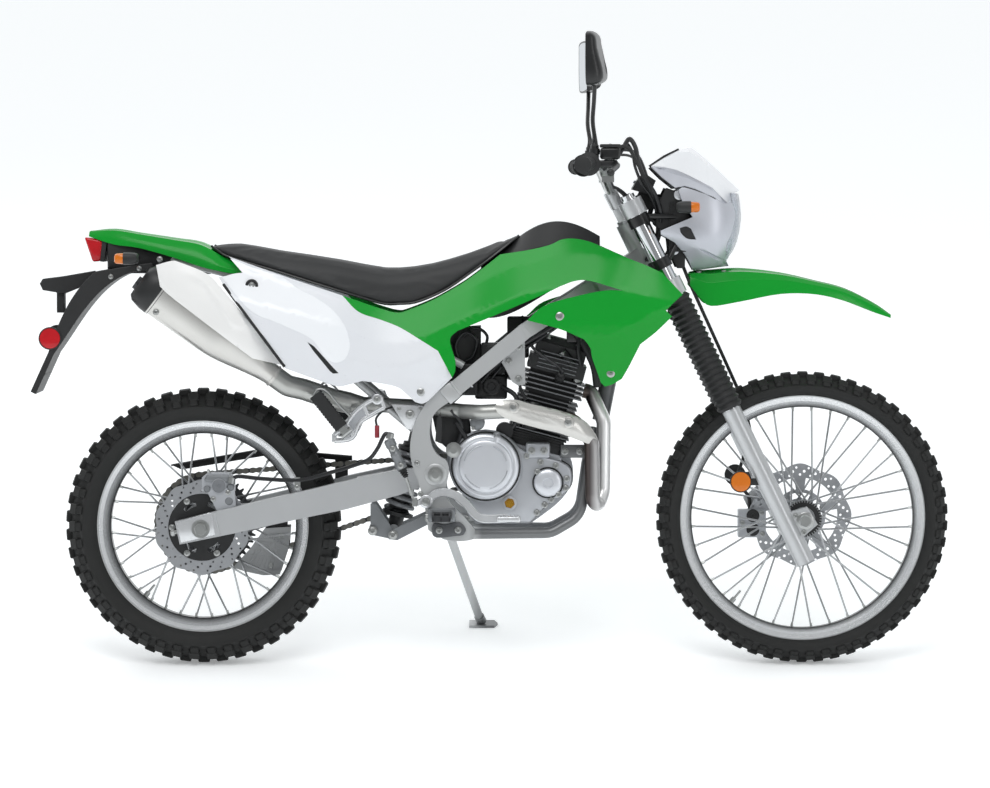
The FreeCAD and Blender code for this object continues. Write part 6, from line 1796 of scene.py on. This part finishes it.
def passenger_pegs():
    """Ribbed rubber on a steel bar, with the wire loop round its end."""
    foot = Vector((334, 143, 540))
    out = Vector((-0.62, 0, 0.785)).normalized()
    up = out.cross(Vector(LEFT))
    for side, body in ((1, "rear_peg_left"), (-1, "rear_peg_right")):
        piece = Piece(body + "_ribbed", body, body)
        sections = []
        for k in range(27):
            s = 16 + 96 * k / 26
            size = 1.0 if k % 2 else 0.9
            w, h = 16 * size, 11 * size
            corners = [(-w, 3 - h), (3 - w, -h), (w - 3, -h), (w, 3 - h), (w, h - 3), (w - 3, h), (3 - w, h),
                (-w, h - 3)]
            sections.append([foot + out * s + up * u + Vector((0, 9 + v, 0)) for u, v in corners])
        forms = [(loft(sections), RUBBER)]
        forms.append((bevelled(joined([loft([[foot + out * s + up * u + Vector((0, 9 + v, 0))
            for u, v in ((-9, -6), (9, -6), (9, 6), (-9, 6))] for s in (2, 20)])]), 1.0), ZINC))
        forms.append((lathe([(-14, 0), (-14, 7), (14, 7), (14, 0)], foot, up, 20), ZINC))
        loop = [(346, 576), (318, 604), (292, 634), (272, 640), (262, 627), (266, 606), (284, 588)]
        forms.append((tube(flow([(x, 158, z) for x, z in loop], 5), 2.6, 10), ZINC))
        for form, tone in forms:
            piece.add(form if side > 0 else mirrored(form), tone)
        piece.done(angle=40)


def peg_brackets():
    """Welded tube brackets of the passenger pegs and clevises of the rider pegs."""
    piece = Piece("peg_brackets_welded", "chassis", "peg_brackets")
    rails = [[(306, 520), (346, 527), (364, 562), (392, 580), (420, 596)],
        [(306, 534), (330, 554), (352, 584), (380, 606), (409, 620)]]
    for rail in rails:
        piece.both(tube(flow([(x, 118.8, z) for x, z in rail], 4), 5.6, 14), ALLOY)
    for x0, z0, x1, z1 in ((306, 518, 306, 536), (350, 532, 334, 558), (384, 575, 372, 602), (421, 595, 410, 622)):
        piece.both(tube([(x0, 118.8, z0), (x1, 118.8, z1)], 5.6, 14), ALLOY)
    piece.both(bevelled(prism([(352, 540), (372, 570), (386, 578), (376, 598), (352, 580), (338, 560)], 117, 120.4),
        1.0), PAINTED_CAST)
    piece.both(lathe([(118, 0), (118, 12), (135.5, 12), (135.5, 0)], (334, 0, 540), LEFT, 28), ALLOY)
    piece.both(lathe([(107, 0), (107, 9), (119, 12), (124, 12), (125, 10), (125, 0)], (404, 0, 615), LEFT, 28), ALLOY)
    piece.bolts(on_sides(124, (404, 615)), 8, 6)
    ear = [[(0, 363)], [(5, 366), (10, 363)], [(10, 340)], [(0, 340)]]
    for x in (519.7, 572.3):
        piece.both(bevelled(prism([(x + u, z) for u, z in outline(ear, 3)], 130.5, 162), 1.2, 2), SAND_CAST)
    piece.both(bevelled(block((519.7, 130.4, 336), (582.3, 141, 368)), 3.0, 2), SAND_CAST)
    piece.both(lathe([(515, 0), (515, 5), (584, 5), (584, 0)], (0, 152, 352), AHEAD, 16), ZINC)
    return piece.done(angle=40)


def heat_shield():
    """A pressed shell over the header: domed, rolled at its edges, with a groove and two bolts."""
    piece = Piece("heat_shield_pressed", "chassis", "heat_shield")
    runs = [[(718, 616), (752, 606), (820, 590), (866, 572), (890, 552), (908, 520)], [(884, 513)], [(866, 520),
        (820, 538), (775, 549), (729, 562), (695, 574), (677, 588)], [(672, 602), (684, 614)]]
    edge = outline(runs, 3)
    wall = [(660, -176.4), (700, -167.3), (850, -133.3), (894, -115.7), (917, -107.2)]
    groove = [(729, 583), (770, 572), (801, 562), (824, 553)]

    def place(x, z, depth):
        near = min(height_at(edge[k - 1], edge[k], x, z) for k in range(len(edge)))
        dome = 8.0 * (1 - min(1.0, near / 20.0)) ** 2
        line = min(height_at(groove[k], groove[k + 1], x, z) for k in range(3))
        return Vector((x, graph(wall, x) + dome + 2.2 * (1 - smoothstep(line / 5.0)) + depth, z))

    piece.add(sheet(edge, place, 2.4, [], [], 7.0), STAINLESS)
    for x, z in ((714, 598), (839, 563)):
        at = (x, graph(wall, x) - 0.5, z)
        out = (-0.22, -1, 0)
        piece.boss(STAINLESS, [(-2, 14), (1.5, 13), (2.5, 10)], at, out, 24)
        piece.boss(ZINC, [(1, 8.4), (5.5, 7.6), (6.2, 5.5), (6.2, 3.2), (3.5, 3.0)], at, out, 20)
    return piece.done(angle=50)


def height_at(p, q, x, z):
    """How far a point lies from the line between two others."""
    dx, dz = q[0] - p[0], q[1] - p[1]
    t = max(0.0, min(1.0, ((x - p[0]) * dx + (z - p[1]) * dz) / (dx * dx + dz * dz or 1.0)))
    return math.hypot(x - p[0] - dx * t, z - p[1] - dz * t)


def frame_details():
    """The sleeves where the beams enter their castings, webs, plates and bolts on the frame."""
    piece = Piece("frame_sleeves_and_webs", "chassis")
    low, high = Vector((566, 118, 626)), Vector((740, 112, 770))
    run = (high - low).normalized()
    across = Vector((-run.z, 0, run.x))
    for a, b, u, v in ((-10, 20, 20.5, 16.2), (20, 26, 19.2, 15.2)):
        form = loft([[low + run * s + across * (u * i) + Vector((0, v * k, 0)) for i, k in CORNERS] for s in (a, b)])
        piece.both(bevelled(form, 1.6, 2), SILVER_FRAME)
    web = [(436, 604), (518, 600), (500, 560), (486, 546), (472, 546)]
    piece.both(bevelled(prism(web, 118, 124), 1.5, 2), ALLOY)
    piece.bolts(on_sides(124, (479, 581)), 10.5, 7.0)
    piece.bolts(on_sides(124, (454, 593), (502, 593)), 4.5, 3.0)
    ring_form = lathe([(128, 16), (128, 25), (131.5, 25), (132.5, 23.5), (132.5, 16)], (537, 0, 444), LEFT, 36)
    piece.both(ring_form, SILVER_FRAME)
    # A thin black sheet in the casting's hollow: painted shade for the recess.
    shaded_hollow = [(536, 520), (550, 514), (552, 560), (548, 586), (540, 570)]
    piece.both(prism(shaded_hollow, 129.6, 130.6), GRAINED)
    bracket = [[(590, 336), (606, 320), (600, 306)], [(540, 300), (528, 316), (532, 334)], [(560, 330)]]
    piece.both(bevelled(prism(outline(bracket, 3), 130.2, 137), 1.5, 2), "dark_cast_iron")
    piece.bolts(on_sides(137, (545, 317), (588, 318)), 8, 7)
    piece.bolts(on_sides(130, (495, 470), (503, 400), (520, 345)), 6.5, 5.0)
    return piece.done()


def engine_dark_parts():
    """What fills the space between frame and engine: intake, regulator, harness, coil, clamps and hoses; also black
    sheets of painted shade there and under the rear fender.
    """
    piece = Piece("intake_and_harness", "chassis")
    boot = [(-22, 0), (-22, 34), (-16, 36)]
    for k in range(5):
        boot += [(-12 + 8 * k, 30), (-8 + 8 * k, 26)]
    piece.turned(RUBBER, boot + [(32, 27), (32, 0)], (655, -8, 690), AHEAD, 32)
    for x in (636, 690):
        piece.turned(ZINC, [(-4, 25), (-4, 28.6), (4, 28.6), (4, 25)], (x, -4, 690), AHEAD, 32)
    piece.box(BLACK_PAINT, (590, -86, 622), (632, -46, 694), 3, 2)
    for k in range(7):
        piece.add(block((592 + 5.6 * k, -90, 626), (594.4 + 5.6 * k, -84, 690)), BLACK_PAINT)
    piece.box(SMOOTH, (640, -84, 700), (690, -40, 742), 5, 2)
    piece.turned(GRAINED, [(0, 0), (0, 17), (6, 17), (8, 12), (14, 12), (15, 0)], (666, -84, 722), RIGHT, 24)
    piece.box(GRAINED, (548, -70, 690), (584, -40, 742), 4, 2)
    wiring = [
        ([(905, -58, 850), (860, -76, 822), (800, -88, 778), (740, -92, 742), (690, -92, 712), (640, -92, 668),
            (592, -92, 626), (560, -88, 596)], 6.5),
        ([(905, -50, 842), (850, -70, 806), (790, -82, 762), (735, -86, 726), (680, -88, 694), (640, -88, 652)], 4.0),
        ([(590, -70, 700), (582, -76, 738), (604, -80, 766), (630, -80, 748), (622, -76, 712), (604, -72, 700)], 4.0),
        ([(600, -66, 756), (628, -70, 776), (654, -72, 758), (648, -70, 728)], 3.4),
        ([(690, -60, 640), (720, -76, 618), (722, -80, 570), (706, -76, 540), (690, -70, 528)], 5.5),
        ([(584, -96, 560), (600, -100, 536), (612, -96, 520), (640, -90, 534)], 6.0),
        ([(572, -100, 590), (596, -98, 556), (590, -96, 520), (574, -98, 498)], 5.0),
        ([(880, -40, 800), (870, -70, 770), (862, -76, 730), (868, -72, 690)], 4.5),
        ([(700, -78, 700), (724, -86, 676), (730, -88, 640), (742, -84, 612)], 3.6),
    ]
    for points, r in wiring:
        piece.hose(SHEATH, points, r)
    ties = [((790, -84, 771), (0.86, 0, 0.5)), ((690, -92, 712), (0.8, 0, 0.6)), ((616, -92, 647), (0.75, 0, 0.66))]
    for at, way in ties:
        piece.turned("white_gloss_polypropylene", [(-2, 6), (-2, 8.2), (2, 8.2), (2, 6)], at, way, 16)
    piece.box(SMOOTH, (836, -62, 742), (884, -40, 786), 3, 2)
    for s in (6, 12, 18, 24):
        wide = 62 if s < 20 else 66
        piece.add(sheet([(u * wide, v * 62) for u, v in CORNERS], lambda u, v, depth: on_cylinder(s + depth, u, v),
            3.0), BLACK_PAINT)
    for half, rows, tone in ((60, ((-26, 58), (28, 58)), BLACK_PAINT), (66, ((-30, 66), (-6, 66)), PAINTED_CAST),
            (58, ((228, 60), (244, 56), (252, 44)), BLACK_PAINT)):
        form = loft([[on_cylinder(s, u * w, v * half) for u, v in CORNERS] for s, w in rows])
        piece.add(bevelled(form, 4, 2), tone)
    # A black sheet between crankcase and frame: partly the dark parts behind, partly painted shade in that gap.
    filler = [(526, 588), (612, 588), (618, 530), (592, 506), (562, 500), (540, 520)]
    piece.plate(GRAINED, filler, -78, -44, 4, 2)
    piece.box(GRAINED, (700, -44, 706), (750, 20, 800), 5, 2)
    piece.hose(RUBBER, [(846, -66, 776), (872, -68, 742), (898, -66, 690), (906, -62, 640)], 9.0, 12)
    piece.boss(SAND_CAST, [(-104, 12), (-100, 17), (-60, 17)], (632, 0, 560), LEFT, 28)
    piece.boss(BLACK_PAINT, [(-84, 20), (-50, 20)], (694, 0, 540), LEFT, 28)
    for x, z in ((622, 548), (642, 572)):
        piece.boss(ZINC, [(-100, 4), (-106, 4)], (x, 0, z), LEFT, 12)
    piece.bolts([(on_cylinder(246, x, -52), CYL_UP) for x in (-36, 36)], 9, 9)
    # A black sheet under the rear fender: painted shadow for the shade beneath the fender.
    under_fender_shade = [(-215, 971), (-141, 961), (-60, 941), (0, 922), (40, 908), (20, 898), (-60, 905), (-110, 905),
        (-213, 912)]
    piece.plate(GRAINED, under_fender_shade, -50, 50, 3, 2)
    return piece.done(angle=40)


def wheel_ends():
    """Front axle nuts and pinch bolts, and the caliper's caps and pins, on the fork."""
    piece = Piece("front_axle_and_caliper_fittings", "fork")
    for side in (-1, 1):
        at = (WHEELBASE, side * 114, FRONT_R)
        piece.boss(ZINC, [(-2, 20), (1, 20), (2, 18)], at, (0, side, 0), 28)
        piece.boss(ZINC, [(1, 14), (7, 14), (9, 12)], at, (0, side, 0), 6)
        piece.bolts([(along(s, 26, side * 113), (0, side, 0)) for s in (-22, 20)], 6.5, 6, 2.6)
    for z in (336.5, 304):
        for y, way in ((44.5, -1), (83, 1)):
            cap = [(-2, 15), (2, 15), (3.4, 13), (3.4, 4.5), (1.8, 4)]
            piece.boss(BLACK_PAINT, cap, (1270, y, z), (0, way, 0), 26)
    piece.bolts([((1290, 44, 343), RIGHT), ((1246, 44, 320), RIGHT), ((1292, 44, 294), RIGHT),
        ((1290, 84, 343), LEFT), ((1292, 84, 294), LEFT)], 6, 5)
    return piece.done()


def sensor_ring():
    """The toothed black ring at the front hub that the speed sensor reads."""
    piece = Piece("front_sensor_ring", "front_wheel")
    piece.turned(BLACK_PAINT, [(-51.0, 27), (-51.0, 37.5), (-53.5, 37.5), (-53.5, 27)], FRONT_AXLE, LEFT, 48)
    tooth = block((-1.7, -53.5, 37), (1.7, -51.0, 42))
    piece.add(around(FRONT_AXLE, tooth, BLACK_PAINT, 40), BLACK_PAINT)
    piece.turned(SAND_CAST, [(-53, 10), (-53, 20), (-56, 18), (-56, 10)], FRONT_AXLE, LEFT, 32)
    return piece.done()


def instrument_face():
    piece = Piece("instrument_face", "fork")
    plane = [(1004.5, 1122.3), (986.8, 1092.8)]
    run = Vector((plane[0][0] - plane[1][0], 0, plane[0][1] - plane[1][1])).normalized()
    out = Vector((-run.z, 0, run.x))
    middle_at = Vector(((plane[0][0] + plane[1][0]) / 2, 0, (plane[0][1] + plane[1][1]) / 2))
    for half_y, half_s, lift, tone in ((50, 15.5, 1.6, SMOOTH), (34, 11.5, 2.2, "liquid_crystal_pane")):
        sections = []
        for d, size in ((-0.5, 1.0), (lift - 0.6, 1.0), (lift, 0.96)):
            sections.append([middle_at + run * (half_s * u * size) + Vector((0, half_y * v * size, 0)) + out * d
                for u, v in ((-1, -0.8), (-0.7, -1), (0.7, -1), (1, -0.8), (1, 0.8), (0.7, 1), (-0.7, 1), (-1, 0.8))])
        piece.add(loft(sections), tone)
    for y in (-42, 42):
        piece.boss("grey_moulded_plastic", [(-1, 4), (3, 3.4)], middle_at + Vector((0, y, 0)) + out * 1.4, out, 14)
    return piece.done()


set_camera()
studio()
dress_solids()
TURN_ROW, SPOT_ROW = turn_row_tree(), spot_row_tree()
SKIN_LINES = skin_lines()
tyre("rear_tyre_treaded", "rear_wheel", REAR_AXLE, REAR_R, 60.0, 11.0, 46, 24.3, (31.2, 232.3),
    [(53, 275), (47, 256), (38, 246)])
tyre("front_tyre_treaded", "front_wheel", FRONT_AXLE, FRONT_R, 45.0, 9.0, 54, 21.9, (21.2, 271.3),
    [(39.5, 304), (36, 291), (27, 284)])
rear_disc()
front_disc()
nipples()
side_panels()
shrouds()
seat()
muffler()
engine_covers()
fins()
engine_bay()
fenders()
grips()
hand_controls()
mirrors()
cables()
signals()
tail_and_plate()
cowl()
headlight()
chain()
spring_and_damper()
swingarm_ends()
brake_pedal()
rider_pegs()
passenger_pegs()
peg_brackets()
heat_shield()
frame_details()
engine_dark_parts()
wheel_ends()
sensor_ring()
instrument_face()
